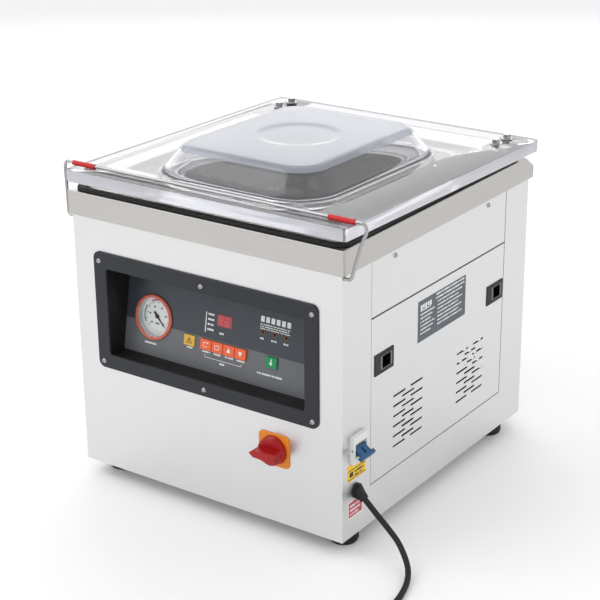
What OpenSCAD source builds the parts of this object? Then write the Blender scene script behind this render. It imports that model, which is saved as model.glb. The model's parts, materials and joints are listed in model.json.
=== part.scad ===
// Chamber vacuum packing machine: +X to the right, +Y to the back, +Z up.
// The origin is on the worktop, under the middle of the machine.

/* [Body] */
// Width of the sheet metal body
body_w = 480; // [470:1:490]
// Depth of the sheet metal body
body_d = 528; // [520:1:536]
// Height of the body from its underside to the rim
body_h = 404; // [398:1:410]
// Thickness of the steel sheet
sheet = 1.5; // [1.2:0.1:2]
// Height of the rubber feet
foot_h = 25; // [20:1:30]
// Radius of the rubber feet
foot_r = 22; // [18:1:26]

/* [Rim] */
// Height of the steel band round the top
rim_h = 37; // [34:1:40]
// How far the band stands proud of the body
rim_proud = 4; // [3:0.5:5]
// Height of the rubber gasket on the band
gasket_h = 4.8; // [4:0.2:6]

/* [Chamber] */
// Width of the chamber opening
chamber_w = 400; // [390:1:404]
// Depth of the chamber opening, front to back
chamber_d = 396; // [380:1:400]
// Distance from the rim's top to the chamber floor
chamber_drop = 86; // [80:1:90]

/* [Lid] */
// Width of the acrylic lid
lid_w = 496; // [490:1:500]
// Depth of the acrylic lid
lid_d = 548; // [542:1:552]
// Thickness of the acrylic plate
lid_t = 18.5; // [16:0.5:20]
// Angle at which the lid stands off its gasket
lid_lift = 0.83; // [0.5:0.01:1]
// Height of the dome over the plate
dome_h = 41; // [36:1:44]
// Width of the dome at its foot
dome_w = 316; // [300:2:330]
// Depth of the dome at its foot
dome_d = 381; // [366:1:390]

/* [Bail] */
// Radius of the bail's wire
bail_r = 2.5; // [2:0.1:3]
// Radius of the red sleeves
sleeve_r = 4; // [3.6:0.1:4.4]

/* [Control panel] */
// Width of the dark bezel
bezel_w = 403; // [396:1:410]
// Height of the dark bezel
bezel_h = 186; // [180:1:190]
// Width of the opening in the bezel
opening_w = 357; // [350:1:360]
// Height of the opening in the bezel
opening_h = 138; // [134:1:142]
// Angle at which the panel leans back
panel_lean = 10; // [8:0.5:12]
// Radius of the vacuum gauge
gauge_r = 35; // [32:1:36]
// Width of one key
key_w = 19.7; // [18:0.1:20]
// Height of one key
key_h = 16; // [14:0.5:17]
// How far a key stands out of the panel
key_out = 2.5; // [2:0.5:3]

/* [Switch and breaker] */
// Width of the orange switch plate
switch_w = 53; // [50:1:56]
// Radius of the switch knob
knob_r = 22.5; // [20:0.5:24]

/* [Side covers] */
// Length of one vent slot
slot_l = 33.5; // [30:0.5:34]
// Height of one vent slot
slot_h = 3; // [2.5:0.5:4]

/* [Cord] */
// Radius of the power cord
cord_r = 4.25; // [4:0.25:4.5]

/* [Hidden] */
$fn = 48;
run_gap = 0.05;
side_x = body_w / 2;
front_y = -256;
back_y = front_y + body_d;
base_z = foot_h;
body_top = base_z + body_h;
rim_top = body_top + rim_h;
rim_x = side_x + rim_proud;
rim_back = back_y + 8;
plate_t = 2;
foot_x = 209.5;
foot_in = 50;
// side strips and covers
strip_w = 72;
strip_z = base_z + 61;
split_z = base_z + 318;
seam = 1.2;
cover_d = body_d - 2 * strip_w;
cover_mid = front_y + strip_w + cover_d / 2;
pull_z = base_z + 243.7;
pull_y = [front_y + 105.7, front_y + 427.5];
pull_w = 46;
pull_h = 28;
pull_hole_y = 5;
pull_hole_w = 22;
pull_hole_h = 19;
slot_pitch = 16.1;
slot_top = base_z + 177.6;
slot_first = front_y + 149.5;
slot_step = 24;
block_step = 182.5;
// chamber and sealing
chamber_y = front_y + 32 + chamber_d / 2;
tub_floor = rim_top - chamber_drop;
bar_y = front_y + 53;
bar_top = rim_top - 9;
piston_x = 130;
port_x = -120;
port_z = tub_floor + 25;
tub_back = front_y + 32 + chamber_d + plate_t;
// lid and hinge
hinge_y = front_y + 514;
hinge_z = rim_top - 16;
lid_z = rim_top + gasket_h + 0.3;
lid_mid = front_y + 269;
lid_top = lid_z + lid_t;
dome_x = 9;
dome_y = front_y + 229;
dome_r = 80;
dome_run = 47;
dome_wall = 6;
dome_steps = 8;
hinge_x = 206;
lug_w = 14;
pin_r = 5;
bolt_ys = [front_y + 478, front_y + 514];
// bail
bail_y = front_y + 4;
bail_z = body_top - 4.5;
bail_bar_y = front_y + 18;
bail_bar_z = lid_top + (hinge_y - bail_bar_y) * sin(lid_lift) + sleeve_r + 0.3;
bail_top_x = 266;
bail_pin_r = 2.7;
// control panel
bezel_z = base_z + 261;
opening_z = base_z + 260;
panel_y = front_y + 30.7;
panel_z = base_z + 194.1;
recess_wall = 2.5;
gauge_at = [-125.5, 56.5];
needle_turn = -45;
key_up_at = 37;
orange_x = -24;
orange_step = 21.1;
menu_x = -54.7;
start_x = 94.5;
lamp_x = [73.7, 94.3, 114.8];
display_at = [5.3, 78];
// switch and breaker
switch_at = [124, front_y, base_z + 116.5];
breaker_at = [side_x, front_y + 36, base_z + 139];
gland_at = [side_x, front_y + 35, base_z + 70];
nose_drop = 40.7;
nose_l = 16;
nose_tip = gland_at + [3 + nose_l * cos(nose_drop), 0, -nose_l * sin(nose_drop)];
label_t = 0.2;
// pump set
motor_at = [0, front_y + 330, 150];
motor_r = 75;
// cord: along the route from the gland to the coil, and from the coil to the plug
cord_route = [
    nose_tip, nose_tip + 8 * [cos(nose_drop), 0, -sin(nose_drop)],
    [271.5, -221, 70], [280, -221, 62.6], [290, -221, 54], [300, -221.5, 45.6], [309, -222.5, 38],
    [317, -225, 31], [326, -230, 23.5], [335, -237, 16.8], [343, -246, 11.5], [350, -258, 7.5],
    [356, -273, 5.2], [361, -290, 4.4], [365, -308, 4.3], [368, -330, 4.3], [369.5, -352, 4.3],
    [370, -376, 4.3], [370, -400, 4.3], [369.8, -425, 4.3], [369.7, -448, 4.3], [369.7, -462, 4.3]
];
coil_at = [318, -462];
coil_in = 30.5;
coil_out = 56;
coil_h = 17;
plug_at = [240, -518, 16];
tail_route = [
    [318, -513.7, 4.3], [305, -514, 4.3], [292, -515, 4.3], [280, -516, 4.9], [270, -517, 6.8],
    [261, -517.8, 10], [253, -518, 13.4], [246.5, -518, 15.7], plug_at
];

// ---------- shared shapes ----------

// flat plate shape with round corners, centred
module round_rect(w, h, r) {
    square([w - 2 * r, h], center = true);
    square([w, h - 2 * r], center = true);
    for (sx = [-1, 1])
        for (sy = [-1, 1])
            translate([sx * (w / 2 - r), sy * (h / 2 - r)])
                circle(r);
}

// slab with round corners standing on z
module slab(w, d, r, z, t) {
    translate([0, 0, z])
        linear_extrude(t)
            round_rect(w, d, r);
}

module rod_x(r, l) {
    rotate([0, 90, 0])
        cylinder(r = r, h = l);
}

module rod_y(r, l) {
    rotate([-90, 0, 0])
        cylinder(r = r, h = l);
}

// outline in the YZ plane carried along X, centred
module along_x(l, points) {
    translate([-l / 2, 0, 0])
        rotate([90, 0, 90])
            linear_extrude(l)
                polygon(points);
}

// puts its children on the leaning panel: x, distance up the panel, distance out of it
module on_panel(x, up, out) {
    translate([0, panel_y, panel_z])
        rotate([90 - panel_lean, 0, 0])
            translate([x, up, out])
                children();
}

// turns its children from the closed lid's place to where the lid stands
module with_lid() {
    translate([0, hinge_y, hinge_z])
        rotate([-lid_lift, 0, 0])
            translate([0, -hinge_y, -hinge_z])
                children();
}

module both_sides() {
    children();
    mirror([1, 0, 0])
        children();
}

// small pan head with a cross slot, axis along +Z
module pan_screw(r, h, shank) {
    difference() {
        cylinder(r1 = r, r2 = r * 0.7, h = h);
        translate([-r * 0.6, -0.4, h * 0.5])
            cube([r * 1.2, 0.8, h]);
        translate([-0.4, -r * 0.6, h * 0.5])
            cube([0.8, r * 1.2, h]);
    }
    translate([0, 0, -shank])
        cylinder(r = r * 0.5, h = shank);
}

// ---------- swept tubes ----------

function unit(v) = v / norm(v);
function curve_at(p, i, t) =
    let (
        a = p[max(i - 1, 0)],
        b = p[i],
        c = p[i + 1],
        d = p[min(i + 2, len(p) - 1)]
    )
    0.5 * (2 * b + t * (c - a) + t * t * (2 * a - 5 * b + 4 * c - d)
        + t * t * t * (3 * b - a - 3 * c + d));
function smooth_path(p, steps) = concat(
    [for (i = [0:len(p) - 2]) for (k = [0:steps - 1]) curve_at(p, i, k / steps)],
    [p[len(p) - 1]]
);
function heading(p, i) = unit(p[min(i + 1, len(p) - 1)] - p[max(i - 1, 0)]);
function ring_of(p, i, r, sides, ref) =
    let (
        t = heading(p, i),
        u = unit(cross(t, ref)),
        v = cross(u, t)
    )
    [for (k = [0:sides - 1]) p[i] + r * (cos(360 * k / sides) * u + sin(360 * k / sides) * v)];

// round tube along a path; ref is a direction the path never takes
module swept(path, r, sides, ref) {
    rings = len(path);
    points = [for (i = [0:rings - 1]) each ring_of(path, i, r, sides, ref)];
    walls = [
        for (i = [0:rings - 2])
            for (k = [0:sides - 1])
                let (n = (k + 1) % sides)
                    [i * sides + k, i * sides + n, (i + 1) * sides + n, (i + 1) * sides + k]
    ];
    first = [for (k = [sides - 1:-1:0]) k];
    last = [for (k = [0:sides - 1]) (rings - 1) * sides + k];
    polyhedron(points, concat([first], walls, [last]), convexity = 8);
}

// ---------- case ----------

// a side's opening for its lift-out and upper covers
module side_window(shrink) {
    translate([side_x - 6, front_y + strip_w + shrink, strip_z + shrink])
        cube([12, cover_d - 2 * shrink, body_top - strip_z - 2 * shrink]);
}

module body_shell() {
    color([0.92, 0.92, 0.92])
        difference() {
            union() {
                difference() {
                    translate([-side_x, front_y, base_z])
                        cube([body_w, body_d - sheet, body_h + 20]);
                    translate([-side_x + sheet, front_y + sheet, base_z + sheet])
                        cube([body_w - 2 * sheet, body_d, body_h + 40]);
                    both_sides()
                        side_window(0);
                }
                both_sides()
                    difference() {
                        translate([side_x - 2 * sheet, front_y + strip_w - 14, strip_z - 14])
                            cube([sheet, cover_d + 28, body_top - strip_z + 34]);
                        side_window(4);
                    }
            }
            translate([-190, front_y - 1, opening_z - 80])
                cube([380, 10, 160]);
            translate([switch_at[0], front_y - 1, switch_at[2]])
                rod_y(8, 10);
            translate(breaker_at + [-10, -19, -22])
                cube([20, 38, 44]);
            translate(gland_at + [-10, 0, 0])
                rod_x(8, 20);
            both_sides()
                translate([side_x - 10, bail_y, bail_z])
                    rod_x(bail_pin_r + run_gap, 20);
        }
}

module rear_panel() {
    color([0.85, 0.86, 0.87])
        difference() {
            translate([-side_x, back_y - sheet, base_z])
                cube([body_w, sheet, body_h + 12]);
            for (x = [-130, 130])
                for (i = [0:7])
                    translate([x - 45, back_y - 4, base_z + 60 + 12 * i])
                        cube([90, 8, 4]);
        }
}

module upper_covers() {
    color([0.88, 0.89, 0.9])
        both_sides()
            translate([side_x - sheet, front_y + strip_w + seam, split_z + seam])
                cube([sheet, cover_d - 2 * seam, body_top - split_z - 2 * seam]);
}

module vent_slots(y0) {
    for (col = [0:2])
        for (row = [0:(col == 1 ? 4 : 5)])
            translate([side_x - 4, y0 + slot_step * col, slot_top - slot_pitch * (row + (col == 1 ? 0.5 : 0))])
                rotate([90, 0, 90])
                    linear_extrude(8)
                        square([slot_l, slot_h], center = true);
}

module side_cover() {
    color([0.88, 0.89, 0.9])
        difference() {
            translate([side_x - sheet, front_y + strip_w + seam, strip_z + seam])
                cube([sheet, cover_d - 2 * seam, split_z - strip_z - 2 * seam]);
            vent_slots(slot_first);
            vent_slots(slot_first + block_step);
            for (y = pull_y)
                translate([side_x - 4, y - pull_w / 2, pull_z - pull_h / 2])
                    cube([8, pull_w, pull_h]);
        }
}

module side_cover_right() {
    side_cover();
}

module side_cover_left() {
    mirror([1, 0, 0])
        side_cover();
}

module cover_pulls() {
    color([0.2, 0.2, 0.22])
        for (y = pull_y)
            translate([side_x, y, pull_z])
                difference() {
                    union() {
                        translate([-18, -pull_w / 2 + 0.2, -pull_h / 2 + 0.2])
                            cube([18, pull_w - 0.4, pull_h - 0.4]);
                        translate([0, -pull_w / 2 - 2, -pull_h / 2 - 2])
                            cube([1.2, pull_w + 4, pull_h + 4]);
                    }
                    translate([-16, -pull_w / 2 + 2.5, -pull_h / 2 + 2.5])
                        cube([14.5, pull_w - 5, pull_h - 5]);
                    translate([-5, pull_hole_y - pull_hole_w / 2, -pull_hole_h / 2])
                        cube([20, pull_hole_w, pull_hole_h]);
                }
}

module cover_pulls_right() {
    cover_pulls();
}

module cover_pulls_left() {
    mirror([1, 0, 0])
        cover_pulls();
}

module case_screws() {
    color([0.7, 0.7, 0.7]) {
        both_sides()
            for (y = [front_y + 132.7, front_y + 398.3])
                translate([side_x, y, base_z + 394])
                    rotate([0, 90, 0])
                        pan_screw(4, 2, sheet);
        for (x = [-225, 0, 225])
            for (z = [base_z + 20, base_z + 200, base_z + 385])
                translate([x, back_y, z])
                    rotate([-90, 0, 0])
                        pan_screw(4, 2, sheet);
    }
}

module feet() {
    color([0.1, 0.1, 0.1])
        for (x = [-foot_x, foot_x])
            for (y = [front_y + foot_in, back_y - foot_in])
                translate([x, y, 0])
                    difference() {
                        union() {
                            cylinder(r1 = foot_r - 2, r2 = foot_r, h = 5);
                            translate([0, 0, 5])
                                cylinder(r = foot_r, h = foot_h - 5);
                        }
                        translate([0, 0, -1])
                            cylinder(r = 9, h = 7);
                    }
}

// ---------- rim, gasket and chamber ----------

module rim_slot() {
    translate([hinge_x - 11, front_y + 488, hinge_z - 14])
        cube([22, 60, 40]);
}

module top_rim() {
    color([0.78, 0.77, 0.76])
        difference() {
            along_x(2 * rim_x, [
                [front_y - rim_proud, body_top], [front_y - rim_proud, rim_top],
                [front_y + 510, rim_top], [rim_back, rim_top - 18], [rim_back, body_top]
            ]);
            along_x(2 * side_x + 0.6, [
                [front_y - 0.3, body_top - 1], [front_y - 0.3, rim_top - plate_t],
                [front_y + 509, rim_top - plate_t], [rim_back - 3.7, rim_top - 20],
                [rim_back - 3.7, body_top - 1]
            ]);
            translate([0, chamber_y, 0])
                slab(chamber_w, chamber_d, 30, rim_top - 10, 20);
            both_sides()
                rim_slot();
        }
}

module lid_gasket() {
    color([0.15, 0.15, 0.16])
        difference() {
            translate([0, front_y + 253, 0])
                slab(2 * side_x, 506, 22, rim_top, gasket_h);
            translate([0, front_y + 228.5, 0])
                slab(2 * side_x - 22, 435, 14, rim_top - 1, gasket_h + 2);
            translate([-side_x + 11, front_y + 458, rim_top - 1])
                cube([2 * side_x - 22, 60, gasket_h + 2]);
        }
}

module chamber_tub() {
    color([0.75, 0.75, 0.76])
        translate([0, chamber_y, 0])
            difference() {
                union() {
                    slab(chamber_w + 4, chamber_d + 4, 32, tub_floor - plate_t, chamber_drop - 1);
                    slab(chamber_w + 28, chamber_d + 28, 44, rim_top - 2 * plate_t, plate_t);
                }
                slab(chamber_w, chamber_d, 30, tub_floor, chamber_drop);
                translate([port_x, chamber_d / 2 - 10, port_z])
                    rod_y(9, 30);
            }
}

module filler_plate() {
    color([0.95, 0.95, 0.94])
        translate([0, front_y + 248, 0])
            difference() {
                slab(370, 340, 28, tub_floor + 0.3, 15);
                for (x = [-150, 150])
                    translate([x, 0, tub_floor - 5])
                        cylinder(r = 11, h = 30);
            }
}

module seal_bar() {
    color([0.8, 0.8, 0.82]) {
        translate([-194, bar_y - 7, bar_top - 30])
            cube([388, 14, 30]);
        for (x = [-piston_x, piston_x])
            translate([x, bar_y, bar_top - 72])
                cylinder(r = 5, h = 43);
    }
}

module seal_tape() {
    color([0.55, 0.4, 0.25])
        translate([-193, bar_y - 4, bar_top])
            cube([386, 8, 0.6]);
}

module seal_pistons() {
    color([0.7, 0.7, 0.72])
        for (x = [-piston_x, piston_x])
            translate([x, bar_y, tub_floor])
                difference() {
                    cylinder(r = 15, h = 24);
                    translate([0, 0, 3])
                        cylinder(r = 5 + run_gap, h = 30);
                }
}

// ---------- lid ----------

function dome_curve(height, inset) = [
    for (i = [0:dome_steps])
        let (t = i / dome_steps)
            [dome_r - inset - dome_run * t, height * (1 - cos(180 * t)) / 2]
];

// round-cornered dome: corners turned, sides carried between them
module dome_form(height, inset, below) {
    curve = dome_curve(height, inset);
    half_w = dome_w / 2 - dome_r;
    half_d = dome_d / 2 - dome_r;
    for (sx = [-1, 1])
        for (sy = [-1, 1])
            translate([sx * half_w, sy * half_d, 0])
                rotate_extrude()
                    polygon(concat([[0, -below], [dome_r - inset, -below]], curve, [[0, height]]));
    rotate([90, 0, 0])
        translate([0, 0, -half_d])
            linear_extrude(2 * half_d)
                dome_section(curve, half_w, dome_r - inset, below);
    rotate([90, 0, 90])
        translate([0, 0, -half_w])
            linear_extrude(2 * half_w)
                dome_section(curve, half_d, dome_r - inset, below);
}

// the dome's cross section, out to half plus the curve on both sides
module dome_section(curve, half, foot, below) {
    n = len(curve);
    polygon(concat(
        [[-half - foot, -below], [half + foot, -below]],
        [for (i = [0:n - 1]) [half + curve[i][0], curve[i][1]]],
        [for (i = [n - 1:-1:0]) [-half - curve[i][0], curve[i][1]]]
    ));
}

module bolt_holes(r) {
    for (x = [-hinge_x, hinge_x])
        for (y = bolt_ys)
            translate([x, y, lid_z - 20])
                cylinder(r = r, h = 60);
}

module lid() {
    color([0.8, 0.8, 0.9, 0.5])
        with_lid()
            difference() {
                union() {
                    translate([0, lid_mid, 0])
                        slab(lid_w, lid_d, 8, lid_z, lid_t);
                    translate([dome_x, dome_y, lid_top])
                        dome_form(dome_h, 0, 4);
                }
                translate([dome_x, dome_y, lid_top])
                    dome_form(dome_h - 5.5, dome_wall, lid_t + 1);
                bolt_holes(4.3);
            }
}

module counter_bar() {
    color([0.85, 0.85, 0.85])
        with_lid()
            translate([-190, bar_y - 8, lid_z - 8])
                cube([380, 16, 8]);
}

module hinge_plate() {
    color([0.75, 0.75, 0.76])
        with_lid()
            difference() {
                union() {
                    translate([hinge_x - 20, front_y + 466, lid_z - 3])
                        cube([40, 75, 3]);
                    translate([hinge_x - lug_w / 2, hinge_y - 10, hinge_z])
                        cube([lug_w, 20, lid_z - hinge_z - 1]);
                    translate([hinge_x - lug_w / 2, hinge_y, hinge_z])
                        rod_x(10, lug_w);
                }
                bolt_holes(4.3);
                translate([hinge_x - 20, hinge_y, hinge_z])
                    rod_x(pin_r + run_gap, 40);
            }
}

module hinge_plate_right() {
    hinge_plate();
}

module hinge_plate_left() {
    mirror([1, 0, 0])
        hinge_plate();
}

module lid_bolts() {
    color([0.8, 0.8, 0.8])
        with_lid()
            for (x = [-hinge_x, hinge_x])
                for (y = bolt_ys)
                    translate([x, y, 0]) {
                        translate([0, 0, y == bolt_ys[0] ? lid_z - 3 : lid_z - 1])
                            cylinder(r = 4, h = lid_t + (y == bolt_ys[0] ? 3 : 1));
                        translate([0, 0, lid_top])
                            cylinder(r = 9, h = 1.2);
                        translate([0, 0, lid_top + 1.2])
                            cylinder(r = 6.5, h = 7, $fn = 6);
                    }
}

module hinge_bracket() {
    difference() {
        union() {
            for (x = [hinge_x - 13, hinge_x + lug_w / 2 + 0.5])
                translate([x, hinge_y, hinge_z]) {
                    rod_x(8, 5.5);
                    translate([0, -8, -20])
                        cube([5.5, 16, 20]);
                }
            translate([hinge_x - 13, hinge_y - 8, hinge_z - 23])
                cube([26, 20.5, 3]);
            translate([hinge_x - 13, hinge_y + 9.5, hinge_z - 50])
                cube([26, 3, 28]);
        }
        translate([hinge_x - 40, hinge_y, hinge_z])
            rod_x(pin_r + 0.02, 80);
    }
}

module hinge_brackets() {
    color([0.6, 0.6, 0.62])
        both_sides()
            hinge_bracket();
}

module hinge_pins() {
    color([0.8, 0.8, 0.82])
        both_sides()
            translate([hinge_x - 40, hinge_y, hinge_z])
                rod_x(pin_r, 56);
}

// close-wound torsion spring on the pin, with one leg down to the bracket's floor
module lid_spring() {
    wire = 1.25;
    turns = 8;
    translate([hinge_x - 36, hinge_y, hinge_z])
        rotate([0, 90, 0])
            rotate_extrude()
                union() {
                    translate([pin_r + 0.4 + wire * 0.6, 0])
                        square([wire * 0.8, 2 * wire * turns]);
                    for (i = [0:turns - 1])
                        translate([pin_r + 0.4 + wire, wire + 2 * wire * i])
                            circle(wire, $fn = 16);
                }
    translate([hinge_x - 16, hinge_y - pin_r - 0.4 - wire, hinge_z - 22])
        translate([-wire, 0, 0])
            cylinder(r = wire * 0.9, h = 22);
}

module lid_springs() {
    color([0.5, 0.5, 0.52])
        both_sides()
            lid_spring();
}

// ---------- bail ----------

// right half of the wire, from its pivot up to the bar
bail_half = [
    [side_x + 5, bail_y, bail_z], [248.5, bail_y + 0.2, bail_z + 0.4],
    [251.5, bail_y + 0.7, bail_z + 3], [252.8, bail_y + 1.4, bail_z + 7],
    [255.5, bail_y + 4, bail_z + 22], [262, bail_y + 10, bail_z + 52],
    [265.5, bail_bar_y - 1, bail_bar_z - 14], [bail_top_x, bail_bar_y, bail_bar_z - 8],
    [264, bail_bar_y, bail_bar_z - 2.5], [259, bail_bar_y, bail_bar_z],
    [250, bail_bar_y, bail_bar_z]
];

module bail_wire() {
    half = smooth_path(bail_half, 3);
    n = len(half);
    path = concat(
        [for (p = half) [-p[0], p[1], p[2]]],
        [for (i = [n - 1:-1:0]) half[i]]
    );
    color([0.75, 0.75, 0.76]) {
        swept(path, bail_r, 12, [0, 1, 0]);
        both_sides()
            translate([side_x - 8, bail_y, bail_z])
                rod_x(bail_pin_r, 14);
    }
}

module bail_sleeves() {
    color([0.85, 0.08, 0.08])
        both_sides()
            translate([206, bail_bar_y, bail_bar_z])
                difference() {
                    rod_x(sleeve_r, 43);
                    translate([-1, 0, 0])
                        rod_x(bail_r + 0.02, 50);
                }
}

// ---------- control panel ----------

module bezel() {
    color([0.3, 0.31, 0.34])
        translate([0, front_y, bezel_z])
            rotate([90, 0, 0])
                difference() {
                    linear_extrude(3)
                        round_rect(bezel_w, bezel_h, 11);
                    translate([0, opening_z - bezel_z, -1])
                        linear_extrude(6)
                            round_rect(opening_w, opening_h, 5);
                }
}

module bezel_screws() {
    color([0.15, 0.15, 0.16])
        for (x = [-191.5, 0, 191.5])
            for (z = [base_z + 339.3, base_z + 178.4])
                translate([x, front_y - 3, z])
                    rotate([90, 0, 0])
                        pan_screw(4, 1.6, 2.5);
}

module panel_recess() {
    half_h = opening_h / 2 + recess_wall;
    low = opening_z - half_h;
    high = opening_z + half_h;
    lean = tan(panel_lean);
    color([0.06, 0.06, 0.07])
        difference() {
            along_x(opening_w + 2 * recess_wall, [
                [front_y, low], [front_y, high],
                [panel_y + (high - panel_z) * lean, high], [panel_y + (low - panel_z) * lean, low]
            ]);
            along_x(opening_w, [
                [front_y - 1, low + recess_wall], [front_y - 1, high - recess_wall],
                [panel_y + 60, high - recess_wall], [panel_y + 60, low + recess_wall]
            ]);
        }
}

module key_hole(x, up) {
    translate([x - key_w / 2 - 0.3, up - key_h / 2 - 0.3, -10])
        cube([key_w + 0.6, key_h + 0.6, 20]);
}

module panel_plate() {
    color([0.35, 0.36, 0.38])
        on_panel(0, 0, 0)
            difference() {
                translate([-opening_w / 2 - recess_wall, -5.5, -3])
                    cube([opening_w + 2 * recess_wall, 145, 2.8]);
                translate([gauge_at[0], gauge_at[1], -10])
                    cylinder(r = gauge_r - 3, h = 20);
                key_hole(menu_x, key_up_at);
                key_hole(start_x, key_up_at);
                for (i = [0:3])
                    key_hole(orange_x + orange_step * i, key_up_at);
                translate([display_at[0] - 13.5, display_at[1] - 9, -10])
                    cube([27, 18, 20]);
                for (x = lamp_x)
                    translate([x, 77.5, -10])
                        cylinder(r = 2.6, h = 20);
            }
}

module gauge_case() {
    color([0.12, 0.12, 0.13])
        on_panel(gauge_at[0], gauge_at[1], -24)
            difference() {
                cylinder(r = gauge_r - 3.1, h = 24);
                translate([0, 0, 2])
                    cylinder(r = gauge_r - 5, h = 30);
                translate([0, 0, -1])
                    cylinder(r = 2.5, h = 5);
            }
}

module gauge_ring() {
    color([0.79, 0.3, 0.22])
        on_panel(gauge_at[0], gauge_at[1], 0)
            difference() {
                union() {
                    cylinder(r = gauge_r, h = 2);
                    translate([0, 0, 2])
                        cylinder(r1 = gauge_r, r2 = gauge_r - 1.5, h = 1.5);
                }
                translate([0, 0, -1])
                    cylinder(r = gauge_r - 5, h = 8);
            }
}

module gauge_dial() {
    color([0.95, 0.95, 0.94])
        on_panel(gauge_at[0], gauge_at[1], -10)
            difference() {
                cylinder(r = gauge_r - 5.1, h = 1);
                translate([0, 0, -1])
                    cylinder(r = 1.2 + run_gap, h = 3);
            }
}

module gauge_needle() {
    color([0.05, 0.05, 0.05])
        on_panel(gauge_at[0], gauge_at[1], -14) {
            cylinder(r = 1.2, h = 8.5);
            translate([0, 0, 5.5])
                cylinder(r = 3, h = 2);
            rotate(needle_turn)
                translate([0, 0, 6])
                    linear_extrude(0.8)
                        polygon([[-9, -1.8], [-9, 1.8], [0, 1.2], [19.5, 0.3], [19.5, -0.3], [0, -1.2]]);
        }
}

module gauge_glass() {
    color([0.8, 0.85, 0.9, 0.4])
        on_panel(gauge_at[0], gauge_at[1], 0)
            cylinder(r = gauge_r - 5.1, h = 1.5);
}

module display() {
    color([0.7, 0.25, 0.3])
        on_panel(display_at[0], display_at[1], -4)
            translate([-13.3, -8.8, 0])
                cube([26.6, 17.6, 4.3]);
}

module one_key(x) {
    on_panel(x, key_up_at, 0) {
        translate([-key_w / 2, -key_h / 2, -4.5])
            cube([key_w, key_h, 4.5 + key_out]);
        translate([-key_w / 2 + 0.2, -key_h / 2 - 1.5, -5.5])
            cube([key_w - 0.4, key_h + 3, 1.5]);
    }
}

module key_menu() {
    color([0.88, 0.69, 0.29])
        one_key(menu_x);
}

module key_previous() {
    color([0.94, 0.42, 0.28])
        one_key(orange_x);
}

module key_next() {
    color([0.94, 0.42, 0.28])
        one_key(orange_x + orange_step);
}

module key_up() {
    color([0.94, 0.42, 0.28])
        one_key(orange_x + 2 * orange_step);
}

module key_down() {
    color([0.94, 0.42, 0.28])
        one_key(orange_x + 3 * orange_step);
}

module key_start() {
    color([0.07, 0.55, 0.33])
        one_key(start_x);
}

module status_lamps() {
    color([0.6, 0.1, 0.1])
        for (x = lamp_x)
            on_panel(x, 77.5, -6) {
                cylinder(r = 2.5, h = 6);
                translate([0, 0, 6])
                    sphere(r = 2.5, $fn = 24);
            }
}

module control_board() {
    color([0.1, 0.35, 0.15])
        on_panel(20, 57, -14)
            difference() {
                translate([-90, -42, 0])
                    cube([190, 84, 1.6]);
                for (x = [-85, 95])
                    for (y = [-37, 37])
                        translate([x, y, -1])
                            cylinder(r = 1.6, h = 4);
            }
}

// ---------- switch and breaker ----------

module switch_plate() {
    color([0.88, 0.54, 0.12])
        translate(switch_at)
            rotate([90, 0, 0])
                difference() {
                    linear_extrude(2)
                        round_rect(switch_w, switch_w - 2, 7);
                    translate([0, 0, -1])
                        cylinder(r = 4 + run_gap, h = 5);
                }
}

module switch_knob() {
    color([0.7, 0, 0.04])
        translate(switch_at)
            rotate([90, 0, 0]) {
                translate([0, 0, -14])
                    cylinder(r = 4, h = 17);
                translate([0, 0, 2.3])
                    cylinder(r1 = knob_r, r2 = knob_r - 2, h = 11);
                translate([0, 0, 12])
                    linear_extrude(17)
                        polygon([[-25, 0], [-18, 5.5], [20, 7], [20, -7], [-18, -5.5]]);
            }
}

module switch_block() {
    color([0.2, 0.2, 0.2])
        translate(switch_at)
            difference() {
                translate([-22, sheet, -22])
                    cube([44, 40, 44]);
                translate([0, 0, 0])
                    rod_y(4 + run_gap, 20);
            }
}

module breaker_body() {
    color([0.93, 0.93, 0.9])
        translate(breaker_at)
            difference() {
                union() {
                    translate([-55, -18, -40])
                        cube([50, 36, 80]);
                    translate([-6, -18, -21])
                        cube([14, 36, 42]);
                }
                translate([1, -14.5, -10])
                    cube([20, 29, 20]);
                translate([4.5, -19, 0])
                    rod_y(1.5 + run_gap, 38);
            }
}

// toggle with two tabs and a bar that ties them, pointing down and out
module breaker_lever() {
    color([0.12, 0.3, 0.48])
        translate(breaker_at + [4.5, 0, 0]) {
            translate([0, -17.5, 0])
                rod_y(1.5, 35);
            rotate([0, 35, 0]) {
                for (y = [-12, 2])
                    translate([0, y, -2.5])
                        cube([15, 10, 5]);
                translate([13, -16, -4])
                    cube([6, 32, 8]);
            }
            translate([0, -14, 0])
                rod_y(3, 28);
        }
}

module side_labels() {
    color([0.9, 0.75, 0.15]) {
        translate([side_x, front_y + 12.7, base_z + 90])
            cube([label_t, 47, 26]);
        translate([side_x, front_y + 14, base_z + 30])
            cube([label_t, 38, 28.5]);
    }
}

module rating_plate() {
    color([0.34, 0.36, 0.39])
        translate([side_x, front_y + 197, base_z + 238])
            cube([label_t, 138, 64]);
}

// ---------- cord ----------

module cable_gland() {
    color([0.08, 0.08, 0.08])
        translate(gland_at) {
            rod_x(11.4, 4);
            translate([-14, 0, 0])
                rod_x(7.8, 15);
            intersection() {
                translate([3, 0, 0])
                    union() {
                        sphere(r = 9.5);
                        rotate([0, 90 + nose_drop, 0])
                            cylinder(r1 = 9, r2 = 6.6, h = nose_l);
                    }
                translate([0.3, -20, -30])
                    cube([40, 40, 60]);
            }
        }
}

module power_cord() {
    color([0.05, 0.05, 0.05]) {
        swept(smooth_path(cord_route, 2), cord_r, 10, [0.1, 0.2, 1]);
        swept(smooth_path(tail_route, 2), cord_r, 10, [0.1, 0.2, 1]);
    }
}

module cord_coil() {
    color([0.05, 0.05, 0.05])
        translate([coil_at[0], coil_at[1], 0])
            rotate_extrude()
                translate([coil_in, 0])
                    square([coil_out - coil_in, coil_h]);
}

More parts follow.
